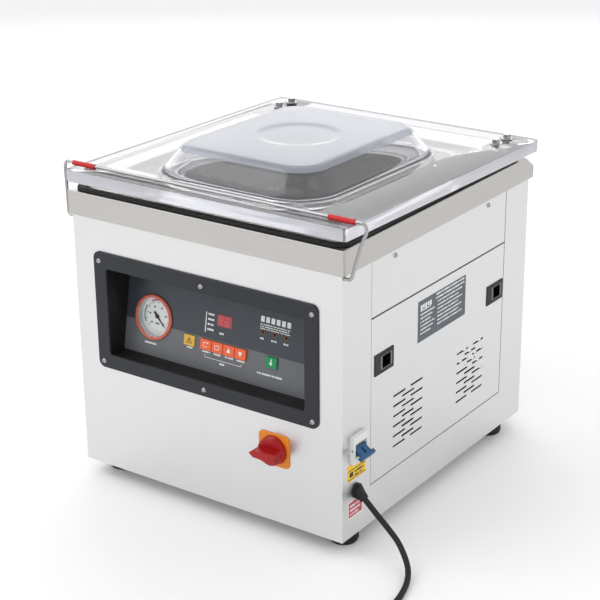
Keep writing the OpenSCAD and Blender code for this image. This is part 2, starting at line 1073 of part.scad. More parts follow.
module plug() {
    color([0.06, 0.06, 0.06])
        translate(plug_at) {
            translate([-12, 0, 0])
                rotate([0, 90, 0])
                    cylinder(r1 = 15, r2 = 7, h = 12);
            translate([-36, 0, 0])
                rod_x(16, 25);
            for (y = [-9.5, 9.5])
                translate([-55, y, 0])
                    rod_x(2.4, 20);
        }
}

// ---------- inside ----------

module vacuum_pump() {
    color([0.35, 0.4, 0.5])
        difference() {
            union() {
                translate([-175, front_y + 250, 60])
                    cube([150, 160, 170]);
                translate([-165, front_y + 240, base_z + sheet])
                    cube([25, 180, 40]);
                translate([-60, front_y + 240, base_z + sheet])
                    cube([25, 180, 40]);
                translate([port_x, front_y + 380, 225])
                    cylinder(r = 14, h = 20);
            }
            translate([port_x, front_y + 380, 235])
                cylinder(r = 9, h = 20);
        }
}

module pump_motor() {
    color([0.25, 0.35, 0.5])
        difference() {
            union() {
                translate(motor_at + [-25, 0, 0])
                    rod_x(motor_r, 175);
                translate(motor_at + [150, 0, 0])
                    rod_x(motor_r - 3, 45);
                translate([10, motor_at[1] - 60, base_z + sheet])
                    cube([120, 120, 60]);
            }
            translate(motor_at + [152, 0, 0])
                rod_x(motor_r - 6, 41);
            for (a = [0:30:330])
                translate(motor_at + [190, 0, 0])
                    rotate([a, 0, 0])
                        translate([0, 0, 40])
                            rod_x(8, 10);
            translate(motor_at + [130, 0, 0])
                rod_x(6 + run_gap, 30);
        }
}

module motor_fan() {
    color([0.8, 0.8, 0.8])
        translate(motor_at) {
            translate([132, 0, 0])
                rod_x(6, 40);
            translate([160, 0, 0])
                rod_x(20, 12);
            for (a = [0:60:300])
                rotate([a, 0, 0])
                    translate([161, -2, 15])
                        cube([24, 4, 45]);
        }
}

hose_route = [
    [port_x, tub_back, port_z], [port_x, tub_back + 14, port_z - 0.5], [port_x, tub_back + 26, port_z - 8],
    [port_x, tub_back + 30, port_z - 24], [port_x, tub_back + 24, port_z - 50],
    [port_x, tub_back + 4, port_z - 84], [port_x, tub_back - 26, port_z - 112],
    [port_x, tub_back - 44, port_z - 130], [port_x, tub_back - 50, port_z - 150],
    [port_x, front_y + 380, 245]
];

module vacuum_hose() {
    color([0.15, 0.15, 0.16])
        swept(smooth_path(hose_route, 3), 11, 12, [1, 0, 0]);
}

module transformer() {
    color([0.55, 0.35, 0.2])
        translate([0, front_y + 110, base_z + sheet]) {
            translate([-50, -35, 0])
                cube([100, 70, 70]);
            translate([-32, -45, 12])
                cube([64, 90, 46]);
        }
}

body_shell();
rear_panel();
upper_covers();
side_cover_left();
side_cover_right();
cover_pulls_left();
cover_pulls_right();
case_screws();
feet();
top_rim();
lid_gasket();
chamber_tub();
filler_plate();
seal_bar();
seal_tape();
seal_pistons();
lid();
counter_bar();
hinge_plate_left();
hinge_plate_right();
lid_bolts();
hinge_brackets();
hinge_pins();
lid_springs();
bail_wire();
bail_sleeves();
bezel();
bezel_screws();
panel_recess();
panel_plate();
gauge_case();
gauge_ring();
gauge_dial();
gauge_needle();
gauge_glass();
display();
key_menu();
key_previous();
key_next();
key_up();
key_down();
key_start();
status_lamps();
control_board();
switch_plate();
switch_knob();
switch_block();
breaker_body();
breaker_lever();
side_labels();
rating_plate();
cable_gland();
power_cord();
cord_coil();
plug();
vacuum_pump();
pump_motor();
motor_fan();
vacuum_hose();
transformer();
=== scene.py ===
import json
import math
import bmesh
import bpy
from mathutils import Matrix, Vector

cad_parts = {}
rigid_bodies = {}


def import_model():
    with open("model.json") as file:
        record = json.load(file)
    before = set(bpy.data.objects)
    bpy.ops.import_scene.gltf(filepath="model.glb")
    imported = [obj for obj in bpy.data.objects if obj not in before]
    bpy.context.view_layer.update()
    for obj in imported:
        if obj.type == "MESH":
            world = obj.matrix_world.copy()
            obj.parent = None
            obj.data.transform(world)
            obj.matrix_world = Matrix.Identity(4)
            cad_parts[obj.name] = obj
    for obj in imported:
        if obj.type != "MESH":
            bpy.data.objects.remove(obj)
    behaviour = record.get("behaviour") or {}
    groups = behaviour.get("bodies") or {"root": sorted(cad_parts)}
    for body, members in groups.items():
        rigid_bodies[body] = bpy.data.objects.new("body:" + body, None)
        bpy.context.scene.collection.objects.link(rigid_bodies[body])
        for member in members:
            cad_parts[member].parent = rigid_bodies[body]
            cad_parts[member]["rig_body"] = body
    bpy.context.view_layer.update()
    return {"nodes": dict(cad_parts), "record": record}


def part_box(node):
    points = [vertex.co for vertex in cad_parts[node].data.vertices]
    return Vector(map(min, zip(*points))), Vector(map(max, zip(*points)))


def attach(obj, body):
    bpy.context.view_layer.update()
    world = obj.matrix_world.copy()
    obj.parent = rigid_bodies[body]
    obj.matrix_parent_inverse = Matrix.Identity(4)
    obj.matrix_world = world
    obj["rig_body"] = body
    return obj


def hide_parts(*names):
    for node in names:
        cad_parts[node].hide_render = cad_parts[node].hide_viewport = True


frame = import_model()

mm = 0.001

# camera and light
view = {
    "place": (1.350128, -1.925547, 1.186020),
    "turn": (68.4906, 0.51332, 35.03338),  # degrees about X, Y, Z
    "lens": 97.146,
}

cameraData = bpy.data.cameras.new("camera")
cameraData.lens = view["lens"]
cameraData.sensor_width = 36
cameraObject = bpy.data.objects.new("camera", cameraData)
cameraObject.location = view["place"]
cameraObject.rotation_euler = [math.radians(a) for a in view["turn"]]
bpy.context.scene.collection.objects.link(cameraObject)
bpy.context.scene.camera = cameraObject
bpy.context.scene.view_settings.view_transform = "Standard"
print("camera placed")

# helpers for meshes

def makePiece(name, verts, faces, body, material, slotName, sharpAngle=30):
    mesh = bpy.data.meshes.new(name)
    mesh.from_pydata([tuple(v) for v in verts], [], faces)
    mesh.validate()
    mesh.materials.append(material)
    return addPiece(name, mesh, body, sharpAngle)


def addPiece(name, mesh, body, sharpAngle=30):
    mesh.polygons.foreach_set("use_smooth", [True] * len(mesh.polygons))
    mesh.set_sharp_from_angle(angle=math.radians(sharpAngle))
    mesh.update()
    piece = bpy.data.objects.new(name, mesh)
    bpy.context.scene.collection.objects.link(piece)
    if body:
        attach(piece, body)
    return piece


def evaluatedMesh(thing):
    # the mesh with the object's modifiers worked in
    bpy.context.view_layer.update()
    return bpy.data.meshes.new_from_object(thing.evaluated_get(bpy.context.evaluated_depsgraph_get()))


def faceOutward(mesh):
    work = bmesh.new()
    work.from_mesh(mesh)
    bmesh.ops.recalc_face_normals(work, faces=work.faces)
    work.to_mesh(mesh)
    work.free()


def bodyOf(node):
    return frame["nodes"][node]["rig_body"]


def slotOf(node):
    for entry in frame["record"]["subparts"]:
        if entry["node"] == node:
            return entry["material_slot"]
    return None


def stackRings(rings, closeFirst=True, closeLast=True):
    # skins a list of equal point rings into one closed mesh
    verts = [p for ring in rings for p in ring]
    count = len(rings[0])
    faces = []
    for level in range(len(rings) - 1):
        low, high = level * count, (level + 1) * count
        for k in range(count):
            after = (k + 1) % count
            faces.append((low + k, low + after, high + after, high + k))
    if closeFirst:
        faces.append(tuple(range(count - 1, -1, -1)))
    if closeLast:
        top = (len(rings) - 1) * count
        faces.append(tuple(top + k for k in range(count)))
    return verts, faces


def sweepTube(points, radius, sides):
    # round tube along a path, with a frame carried from point to point
    rings = []
    ahead = (points[1] - points[0]).normalized()
    across = ahead.orthogonal().normalized()
    for i, point in enumerate(points):
        before, after = points[max(i - 1, 0)], points[min(i + 1, len(points) - 1)]
        heading = (after - before).normalized()
        across = (across - heading * across.dot(heading)).normalized()
        upward = heading.cross(across)
        size = radius(i) if callable(radius) else radius
        ring = []
        for k in range(sides):
            turn = math.tau * k / sides
            ring.append(point + (across * math.cos(turn) + upward * math.sin(turn)) * size)
        rings.append(ring)
    return stackRings(rings)


def smoothPath(points, steps):
    path = []
    for i in range(len(points) - 1):
        a, b = points[max(i - 1, 0)], points[i]
        c, d = points[i + 1], points[min(i + 2, len(points) - 1)]
        for k in range(steps):
            t = k / steps
            path.append(0.5 * (2 * b + t * (c - a) + t * t * (2 * a - 5 * b + 4 * c - d)
                               + t ** 3 * (3 * b - a - 3 * c + d)))
    path.append(points[-1].copy())
    return path


# shader groups

def newGroup(name, inputs, outputs):
    group = bpy.data.node_groups.new(name, "ShaderNodeTree")
    for label, kind, value in inputs:
        socket = group.interface.new_socket(label, in_out="INPUT", socket_type=kind)
        socket.default_value = value
    for label, kind in outputs:
        group.interface.new_socket(label, in_out="OUTPUT", socket_type=kind)
    return group, group.nodes.new("NodeGroupInput"), group.nodes.new("NodeGroupOutput")


def linkUp(tree, source, target):
    tree.links.new(source, target)


def buildBrushing():
    # fine straight scratches: value for roughness and a height
    group, given, out = newGroup(
        "brushing",
        [("Along", "NodeSocketVector", (4, 4, 900)), ("Rough low", "NodeSocketFloat", 0.25),
         ("Rough high", "NodeSocketFloat", 0.4), ("Tint low", "NodeSocketColor", (0.7, 0.7, 0.7, 1)),
         ("Tint high", "NodeSocketColor", (0.8, 0.8, 0.8, 1))],
        [("Colour", "NodeSocketColor"), ("Roughness", "NodeSocketFloat"), ("Height", "NodeSocketFloat")])
    nodes = group.nodes
    place = nodes.new("ShaderNodeTexCoord")
    stretch = nodes.new("ShaderNodeVectorMath")
    stretch.operation = "MULTIPLY"
    fine = nodes.new("ShaderNodeTexNoise")
    fine.inputs["Scale"].default_value = 1
    fine.inputs["Detail"].default_value = 5
    broad = nodes.new("ShaderNodeTexNoise")
    broad.inputs["Scale"].default_value = 5
    broad.inputs["Detail"].default_value = 2
    mixed = nodes.new("ShaderNodeMath")
    mixed.operation = "MULTIPLY_ADD"
    mixed.inputs[1].default_value = 0.55
    half = nodes.new("ShaderNodeMath")
    half.operation = "MULTIPLY"
    half.inputs[1].default_value = 0.45
    rough = nodes.new("ShaderNodeMapRange")
    tint = nodes.new("ShaderNodeMix")
    tint.data_type = "RGBA"
    linkUp(group, place.outputs["Object"], stretch.inputs[0])
    linkUp(group, given.outputs["Along"], stretch.inputs[1])
    linkUp(group, stretch.outputs[0], fine.inputs["Vector"])
    linkUp(group, place.outputs["Object"], broad.inputs["Vector"])
    linkUp(group, broad.outputs["Fac"], half.inputs[0])
    linkUp(group, fine.outputs["Fac"], mixed.inputs[0])
    linkUp(group, half.outputs[0], mixed.inputs[2])
    linkUp(group, mixed.outputs[0], rough.inputs["Value"])
    # noise seldom leaves 0.3 to 0.7
    rough.inputs["From Min"].default_value = 0.3
    rough.inputs["From Max"].default_value = 0.7
    linkUp(group, given.outputs["Rough low"], rough.inputs["To Min"])
    linkUp(group, given.outputs["Rough high"], rough.inputs["To Max"])
    linkUp(group, mixed.outputs[0], tint.inputs["Factor"])
    linkUp(group, given.outputs["Tint low"], tint.inputs["A"])
    linkUp(group, given.outputs["Tint high"], tint.inputs["B"])
    linkUp(group, tint.outputs["Result"], out.inputs["Colour"])
    linkUp(group, rough.outputs["Result"], out.inputs["Roughness"])
    linkUp(group, fine.outputs["Fac"], out.inputs["Height"])
    return group


def buildGrain():
    # moulded grain with faint handling marks
    group, given, out = newGroup(
        "grain",
        [("Scale", "NodeSocketFloat", 900), ("Colour", "NodeSocketColor", (0.1, 0.1, 0.1, 1)),
         ("Spread", "NodeSocketFloat", 0.15), ("Rough low", "NodeSocketFloat", 0.35),
         ("Rough high", "NodeSocketFloat", 0.5)],
        [("Colour", "NodeSocketColor"), ("Roughness", "NodeSocketFloat"), ("Height", "NodeSocketFloat")])
    nodes = group.nodes
    place = nodes.new("ShaderNodeTexCoord")
    fine = nodes.new("ShaderNodeTexNoise")
    fine.inputs["Detail"].default_value = 2
    broad = nodes.new("ShaderNodeTexNoise")
    broad.inputs["Scale"].default_value = 14
    broad.inputs["Detail"].default_value = 3
    rough = nodes.new("ShaderNodeMapRange")
    shade = nodes.new("ShaderNodeMath")
    shade.operation = "MULTIPLY_ADD"
    shade.inputs[2].default_value = 1
    centred = nodes.new("ShaderNodeMath")
    centred.operation = "SUBTRACT"
    centred.inputs[1].default_value = 0.5
    tone = nodes.new("ShaderNodeVectorMath")
    tone.operation = "SCALE"
    linkUp(group, place.outputs["Object"], fine.inputs["Vector"])
    linkUp(group, given.outputs["Scale"], fine.inputs["Scale"])
    linkUp(group, place.outputs["Object"], broad.inputs["Vector"])
    linkUp(group, broad.outputs["Fac"], rough.inputs["Value"])
    rough.inputs["From Min"].default_value = 0.3
    rough.inputs["From Max"].default_value = 0.7
    linkUp(group, given.outputs["Rough low"], rough.inputs["To Min"])
    linkUp(group, given.outputs["Rough high"], rough.inputs["To Max"])
    linkUp(group, broad.outputs["Fac"], centred.inputs[0])
    linkUp(group, centred.outputs[0], shade.inputs[0])
    linkUp(group, given.outputs["Spread"], shade.inputs[1])
    linkUp(group, given.outputs["Colour"], tone.inputs[0])
    linkUp(group, shade.outputs[0], tone.inputs["Scale"])
    linkUp(group, tone.outputs[0], out.inputs["Colour"])
    linkUp(group, rough.outputs["Result"], out.inputs["Roughness"])
    linkUp(group, fine.outputs["Fac"], out.inputs["Height"])
    return group


brushing = buildBrushing()
grain = buildGrain()


def newMaterial(name):
    material = bpy.data.materials.new(name)
    material.use_nodes = True
    shader = material.node_tree.nodes["Principled BSDF"]
    return material, shader


def addBump(material, shader, height, strength, distance):
    bump = material.node_tree.nodes.new("ShaderNodeBump")
    bump.inputs["Strength"].default_value = strength
    bump.inputs["Distance"].default_value = distance
    linkUp(material.node_tree, height, bump.inputs["Height"])
    linkUp(material.node_tree, bump.outputs["Normal"], shader.inputs["Normal"])


def brushedMetal(name, low, high, along=(6, 6, 700), roughness=(0.28, 0.42), metallic=1.0, bump=0.05):
    material, shader = newMaterial(name)
    group = material.node_tree.nodes.new("ShaderNodeGroup")
    group.node_tree = brushing
    group.inputs["Along"].default_value = along
    group.inputs["Rough low"].default_value = roughness[0]
    group.inputs["Rough high"].default_value = roughness[1]
    group.inputs["Tint low"].default_value = (*low, 1)
    group.inputs["Tint high"].default_value = (*high, 1)
    shader.inputs["Metallic"].default_value = metallic
    linkUp(material.node_tree, group.outputs["Colour"], shader.inputs["Base Color"])
    linkUp(material.node_tree, group.outputs["Roughness"], shader.inputs["Roughness"])
    addBump(material, shader, group.outputs["Height"], bump, 0.0002)
    return material


def mouldedPlastic(name, colour, roughness=(0.35, 0.5), scale=900, spread=0.15, bump=0.06, coat=0.0,
                   metallic=0.0, shine=0.35):
    material, shader = newMaterial(name)
    group = material.node_tree.nodes.new("ShaderNodeGroup")
    group.node_tree = grain
    group.inputs["Scale"].default_value = scale
    group.inputs["Colour"].default_value = (*colour, 1)
    group.inputs["Spread"].default_value = spread
    group.inputs["Rough low"].default_value = roughness[0]
    group.inputs["Rough high"].default_value = roughness[1]
    shader.inputs["Metallic"].default_value = metallic
    shader.inputs["Coat Weight"].default_value = coat
    shader.inputs["Specular IOR Level"].default_value = shine
    linkUp(material.node_tree, group.outputs["Colour"], shader.inputs["Base Color"])
    linkUp(material.node_tree, group.outputs["Roughness"], shader.inputs["Roughness"])
    addBump(material, shader, group.outputs["Height"], bump, 0.0002)
    return material


def clearPlastic(name, colour, ior, roughness=0.01, clearness=1.0):
    material, shader = newMaterial(name)
    shader.inputs["Base Color"].default_value = (*colour, 1)
    shader.inputs["Roughness"].default_value = roughness
    shader.inputs["IOR"].default_value = ior
    shader.inputs["Transmission Weight"].default_value = clearness
    shader.inputs["Metallic"].default_value = 0.0
    return material


def twoToneFoil(name, lower, upper, edge):
    # printed panel foil: light band under a dark one, meeting at one height
    material, shader = newMaterial(name)
    nodes = material.node_tree.nodes
    place = nodes.new("ShaderNodeTexCoord")
    split = nodes.new("ShaderNodeSeparateXYZ")
    above = nodes.new("ShaderNodeMath")
    above.operation = "GREATER_THAN"
    above.inputs[1].default_value = edge
    mix = nodes.new("ShaderNodeMix")
    mix.data_type = "RGBA"
    mix.inputs["A"].default_value = (*lower, 1)
    mix.inputs["B"].default_value = (*upper, 1)
    group = nodes.new("ShaderNodeGroup")
    group.node_tree = grain
    group.inputs["Scale"].default_value = 1500
    group.inputs["Spread"].default_value = 0.08
    group.inputs["Rough low"].default_value = 0.3
    group.inputs["Rough high"].default_value = 0.42
    linkUp(material.node_tree, place.outputs["Object"], split.inputs[0])
    linkUp(material.node_tree, split.outputs["Z"], above.inputs[0])
    linkUp(material.node_tree, above.outputs[0], mix.inputs["Factor"])
    linkUp(material.node_tree, mix.outputs["Result"], group.inputs["Colour"])
    linkUp(material.node_tree, group.outputs["Colour"], shader.inputs["Base Color"])
    linkUp(material.node_tree, group.outputs["Roughness"], shader.inputs["Roughness"])
    addBump(material, shader, group.outputs["Height"], 0.04, 0.0001)
    return material


panel = {"y": -225.3, "z": 219.1, "lean": 10.0, "split": 47.0}


def onPanel(x, up, out):
    lean = math.radians(panel["lean"])
    return Vector((x, panel["y"] + up * math.sin(lean) - out * math.cos(lean),
                   panel["z"] + up * math.cos(lean) + out * math.sin(lean))) * mm


finishes = {
    "sheet_steel": brushedMetal("sheetSteel",
                                (0.665, 0.67, 0.675), (0.765, 0.765, 0.765), (700, 700, 5), (0.3, 0.42)),
    "rim_steel": brushedMetal("rimSteel",
                              (0.43, 0.415, 0.40), (0.60, 0.585, 0.565), (5, 5, 800), (0.26, 0.4)),
    "bright_steel": brushedMetal("brightSteel",
                                 (0.34, 0.34, 0.35), (0.48, 0.48, 0.49), (60, 60, 60), (0.12, 0.22)),
    # chamber tub steel far darker than the rim steel: painted shade for the inside of the chamber under the
    # lid
    "tubSteel": brushedMetal("tubSteel",
                             (0.10, 0.105, 0.115), (0.17, 0.175, 0.185), (5, 5, 800), (0.22, 0.36)),
    "dark_steel": mouldedPlastic("darkSteel", (0.02, 0.02, 0.022), (0.3, 0.45), metallic=0.6),
    "cast_aluminium": brushedMetal("castAluminium",
                                   (0.62, 0.62, 0.63), (0.72, 0.72, 0.73), (90, 90, 90), (0.3, 0.5)),
    "acrylic": clearPlastic("acrylic", (0.94, 0.945, 0.965), 1.49, 0.02, 0.94),
    "acrylicEdge": clearPlastic("acrylicEdge", (0.80, 0.80, 0.86), 1.49, 0.32, 0.45),
    # dome crown: tinted, half-clear plastic as a painted reflection, a sheen standing in for the studio
    # light on the dome top
    "acrylicCrown": clearPlastic("acrylicCrown", (0.47, 0.495, 0.56), 1.49, 0.05, 0.5),
    "instrument_glass": clearPlastic("instrumentGlass", (0.98, 0.99, 0.99), 1.12),
    "black_rubber": mouldedPlastic("blackRubber", (0.012, 0.012, 0.013), (0.55, 0.75), 1200),
    "black_plastic": mouldedPlastic("blackPlastic", (0.008, 0.008, 0.009), (0.4, 0.55), 1400),
    "bezel_grey": mouldedPlastic("bezelGrey",
                                 (0.026, 0.028, 0.035), (0.36, 0.5), 1600, 0.1, shine=0.25),
    "panel_grey": twoToneFoil("panelFoil", (0.13, 0.135, 0.145), (0.038, 0.046, 0.058),
                              onPanel(0, panel["split"], 0).z),
    "gauge_red": mouldedPlastic("gaugeRed", (0.58, 0.125, 0.08), (0.2, 0.32), 700, 0.1, 0.03, 0.4),
    "dial_white": mouldedPlastic("dialWhite", (0.93, 0.95, 0.96), (0.4, 0.5), 900, 0.04),
    "needle_black": mouldedPlastic("needleBlack", (0.012, 0.012, 0.012), (0.35, 0.5)),
    "display_red": mouldedPlastic("displayRed", (0.42, 0.045, 0.06), (0.15, 0.25), 900, 0.1, 0.02, 0.6),
    "key_yellow": mouldedPlastic("keyYellow", (0.72, 0.42, 0.07), (0.35, 0.5), 1500, 0.08),
    "key_orange": mouldedPlastic("keyOrange", (0.83, 0.14, 0.05), (0.35, 0.5), 1500, 0.08),
    "key_green": mouldedPlastic("keyGreen", (0.01, 0.27, 0.1), (0.35, 0.5), 1500, 0.08),
    "lamp_red": mouldedPlastic("lampRed", (0.06, 0.008, 0.008), (0.12, 0.2), 900, 0.1, 0.02, 0.6),
    "board_green": mouldedPlastic("boardGreen", (0.01, 0.09, 0.03), (0.3, 0.45)),
    "switch_orange": mouldedPlastic("switchOrange",
                                    (0.76, 0.24, 0.012), (0.3, 0.42), 1100, 0.08, 0.04, 0.05),
    "knob_red": mouldedPlastic("knobRed", (0.36, 0.003, 0.005), (0.24, 0.36), 1100, 0.1, 0.03, 0.08),
    "breaker_white": mouldedPlastic("breakerWhite", (0.75, 0.76, 0.74), (0.4, 0.5), 1300, 0.05),
    "breaker_blue": mouldedPlastic("breakerBlue", (0.018, 0.09, 0.21), (0.3, 0.42), 1300, 0.08),
    "sleeve_red": mouldedPlastic("sleeveRed",
                                 (0.55, 0.008, 0.012), (0.24, 0.36), 600, 0.08, 0.03, 0.06),
    # filler plate: its own grey, made darker as painted shade inside the chamber under the lid
    "filler_grey": mouldedPlastic("fillerGrey", (0.10, 0.105, 0.115), (0.3, 0.5), 500, 0.12),
    "seal_film": mouldedPlastic("sealFilm", (0.36, 0.22, 0.10), (0.5, 0.65), 3000, 0.2, 0.2),
    "label_print": mouldedPlastic("labelYellow", (0.86, 0.54, 0.02), (0.3, 0.42), 900, 0.05),
    "plate_print": mouldedPlastic("plateGrey",
                                  (0.088, 0.105, 0.125), (0.3, 0.42), 900, 0.08, metallic=0.2),
    "pump_enamel": mouldedPlastic("pumpEnamel", (0.05, 0.09, 0.17), (0.25, 0.4), 700, 0.15, coat=0.3),
    "winding": mouldedPlastic("winding", (0.18, 0.08, 0.035), (0.4, 0.6)),
    "printWhite": mouldedPlastic("printWhite", (0.82, 0.83, 0.84), (0.35, 0.5), 900, 0.04),
    "printRed": mouldedPlastic("printRed", (0.52, 0.05, 0.09), (0.35, 0.5), 900, 0.04),
    "printGreen": mouldedPlastic("printGreen", (0.03, 0.30, 0.12), (0.35, 0.5), 900, 0.04),
    "printBlack": mouldedPlastic("printBlack", (0.012, 0.012, 0.014), (0.35, 0.5), 900, 0.04),
    "printAmber": mouldedPlastic("printAmber", (0.30, 0.12, 0.03), (0.35, 0.5), 900, 0.04),
    "pullGrey": mouldedPlastic("pullGrey", (0.15, 0.155, 0.17), (0.35, 0.5), 1400, 0.08),
    "digitRed": mouldedPlastic("digitRed", (0.75, 0.12, 0.13), (0.25, 0.35), 900, 0.04),
}
print("finishes made")

# the cord: gland to coil, coil, coil to plug
cordSizes = {
    "radius": 4.25, "coilAt": (318.0, -462.0), "coilOuter": 51.7, "coilInner": 34.6, "step": 8.55,
    "low": 4.35, "turns": 4.25, "inwardTurns": 2, "outwardFrom": 2.2, "climbFrom": 1.72, "climbOver": 0.46,
    "coilSteps": 170, "exit": (240, -221, 95), "noseDrop": 40.7, "flange": 3, "nose": 16,
}

noseDrop = math.radians(cordSizes["noseDrop"])
noseWay = Vector((math.cos(noseDrop), 0, -math.sin(noseDrop)))
noseTip = Vector(cordSizes["exit"]) + Vector((cordSizes["flange"], 0, 0)) + noseWay * cordSizes["nose"]
leadIn = [noseTip, noseTip + noseWay * 8] + [Vector(p) for p in [
    (271.5, -221, 70), (280, -221, 62.6), (290, -221, 54), (300, -221.5, 45.6), (309, -222.5, 38),
    (317, -225, 31), (326, -230, 23.5), (335, -237, 16.8), (343, -246, 11.5), (350, -258, 7.5),
    (356, -273, 5.3), (361, -290, 4.5), (365, -308, 4.4), (368, -330, 4.4), (369.3, -352, 4.4),
    (369.7, -376, 4.4), (369.7, -400, 4.4), (369.7, -425, 4.4), (369.7, -445, 4.35)]]


def coilPoint(turn):
    # inward on the floor, over itself, then outward on top
    sizes = cordSizes
    if turn < sizes["inwardTurns"]:
        radius = sizes["coilOuter"] - sizes["step"] * turn
    elif turn < sizes["outwardFrom"]:
        radius = sizes["coilInner"]
    else:
        radius = sizes["coilInner"] + sizes["step"] * (turn - sizes["outwardFrom"])
    climb = min(max((turn - sizes["climbFrom"]) / sizes["climbOver"], 0), 1)
    climb = climb * climb * (3 - 2 * climb)
    angle = -turn * math.tau
    return Vector((sizes["coilAt"][0] + radius * math.cos(angle),
                   sizes["coilAt"][1] + radius * math.sin(angle), sizes["low"] + climb * sizes["step"]))


coilSteps = cordSizes["coilSteps"]
coilPath = [coilPoint(cordSizes["turns"] * k / coilSteps) for k in range(coilSteps + 1)]
leadOut = [Vector(p) for p in [
    (306, -514.6, 11.2), (294, -515.2, 8.2), (282, -516, 6.6), (271, -517, 7.6),
    (262, -517.8, 10.6), (254, -518, 13.8), (247, -518, 15.7), (240.2, -518, 16)]]
cordLine = smoothPath(leadIn, 3) + coilPath + smoothPath([coilPath[-1]] + leadOut, 3)[1:]
cordLine = [p * mm for p in cordLine]

tubeVerts, tubeFaces = sweepTube(cordLine, cordSizes["radius"] * mm, 14)
rubber = finishes["black_rubber"]
powerCord = makePiece("powerCordTube", tubeVerts, tubeFaces, "base", rubber, "black_rubber")
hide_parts("power_cord", "cord_coil")


# the plug: a turned shell with a ribbed neck, and two pins
plugSizes = {
    "at": (240, -518, 16), "shellSides": 40, "pinSides": 20, "pinSpread": 9.5,
    "shell": [(0, 5.2), (-2, 6.2), (-4, 6.6), (-5, 5.6), (-7, 5.8), (-8, 7.2), (-10, 7.6), (-11, 6.6),
              (-13, 7.2), (-15, 10.5), (-18, 13.5), (-21, 14.8), (-22, 15.6), (-23, 15.9), (-34, 15.9),
              (-35.5, 15.2), (-36, 14.2), (-36, 12), (-35, 11.4), (-35, 2)],
    "pin": [(-34, 2.4), (-53.4, 2.4), (-54.6, 1.9), (-55, 1.0)],
}


def latheRings(profile, sides, centre):
    # turns (distance along, radius) pairs about a line along x through the centre
    rings = []
    for along, radius in profile:
        ring = []
        for k in reversed(range(sides)):
            turn = math.tau * k / sides
            ring.append((Vector((along, radius * math.cos(turn), radius * math.sin(turn))) + centre) * mm)
        rings.append(ring)
    return rings


def joinShape(verts, faces, allVerts, allFaces):
    start = len(allVerts)
    allVerts.extend(verts)
    allFaces.extend([tuple(i + start for i in face) for face in faces])


plugAt = Vector(plugSizes["at"])
shellRings = latheRings(plugSizes["shell"], plugSizes["shellSides"], plugAt)
plugShell = makePiece("plugShell", *stackRings(shellRings), "base", rubber, "black_rubber")
pinVerts, pinFaces = [], []
for side in (-1, 1):
    pinAt = plugAt + Vector((0, side * plugSizes["pinSpread"], 0))
    pinRings = latheRings(plugSizes["pin"], plugSizes["pinSides"], pinAt)
    joinShape(*stackRings(pinRings), pinVerts, pinFaces)
plugPins = makePiece("plugPins", pinVerts, pinFaces, "base", finishes["bright_steel"], "bright_steel")
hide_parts("plug")

# rounded copies of the metal and plastic pieces
# the chamber tub takes the darkened steel, its painted shade
ownFinish = {"chamber_tub": "tubSteel", "bezel_screws": "bright_steel", "gauge_case": "cast_aluminium",
             "panel_recess": "black_plastic"}
edgeRadii = {
    "body_shell": 0.6, "rear_panel": 0.4, "upper_covers": 0.5,
    "side_cover_left": 0.5, "side_cover_right": 0.5,
    "cover_pulls_left": 0.6, "cover_pulls_right": 0.6, "case_screws": 0.25, "feet": 1.5, "top_rim": 1.0,
    "lid_gasket": 1.2, "chamber_tub": 1.0, "seal_bar": 0.8, "seal_pistons": 0.8, "counter_bar": 0.8,
    "hinge_plate_left": 0.5, "hinge_plate_right": 0.5, "lid_bolts": 0.4, "hinge_brackets": 0.5,
    "bail_sleeves": 1.2, "bezel": 1.1, "bezel_screws": 0.25, "gauge_ring": 0.5, "display": 0.5,
    "key_menu": 0.9, "key_previous": 0.9, "key_next": 0.9, "key_up": 0.9, "key_down": 0.9, "key_start": 0.9,
    "switch_plate": 0.6, "switch_knob": 1.3, "switch_block": 1.0, "breaker_body": 0.8, "breaker_lever": 0.9,
    "cable_gland": 0.8, "vacuum_pump": 4.0, "pump_motor": 2.5, "transformer": 1.5, "panel_recess": 0.6,
    "filler_plate": 2.0, "gauge_case": 0.5,
}


def finishOf(node):
    return ownFinish.get(node, slotOf(node))


def roundedCopy(node, radius):
    mesh = frame["nodes"][node].data.copy()
    work = bmesh.new()
    work.from_mesh(mesh)
    bmesh.ops.remove_doubles(work, verts=work.verts, dist=2e-6)
    bmesh.ops.dissolve_limit(work, angle_limit=math.radians(0.6), verts=work.verts, edges=work.edges)
    work.to_mesh(mesh)
    work.free()
    storedNormals = mesh.attributes.get("custom_normal")
    if storedNormals:
        mesh.attributes.remove(storedNormals)
    raw = bpy.data.objects.new(node + "Raw", mesh)
    bpy.context.scene.collection.objects.link(raw)
    bevel = raw.modifiers.new("edges", "BEVEL")
    bevel.width = radius * mm
    bevel.segments = 2
    bevel.limit_method = "ANGLE"
    bevel.angle_limit = math.radians(32)
    bevel.use_clamp_overlap = True
    finished = evaluatedMesh(raw)
    bpy.data.objects.remove(raw)
    finished.materials.clear()
    finished.materials.append(finishes[finishOf(node)])
    parts = node.split("_")
    name = parts[0] + "".join(p.capitalize() for p in parts[1:]) + "Piece"
    finished.name = name
    piece = addPiece(name, finished, bodyOf(node), 50)
    # large faces keep their own normal, only the rounded edges blend
    level = piece.modifiers.new("shading", "WEIGHTED_NORMAL")
    level.keep_sharp = True
    level.weight = 100
    shaded = evaluatedMesh(piece)
    piece.modifiers.remove(level)
    piece.data = shaded
    shaded.name = name
    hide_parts(node)
    return piece


for node, radius in edgeRadii.items():
    roundedCopy(node, radius)
print("edges rounded")

# CAD nodes that stay as they are get their finish
for node, thing in frame["nodes"].items():
    if not thing.hide_render:
        thing.data.materials.clear()
        thing.data.materials.append(finishes[finishOf(node)])

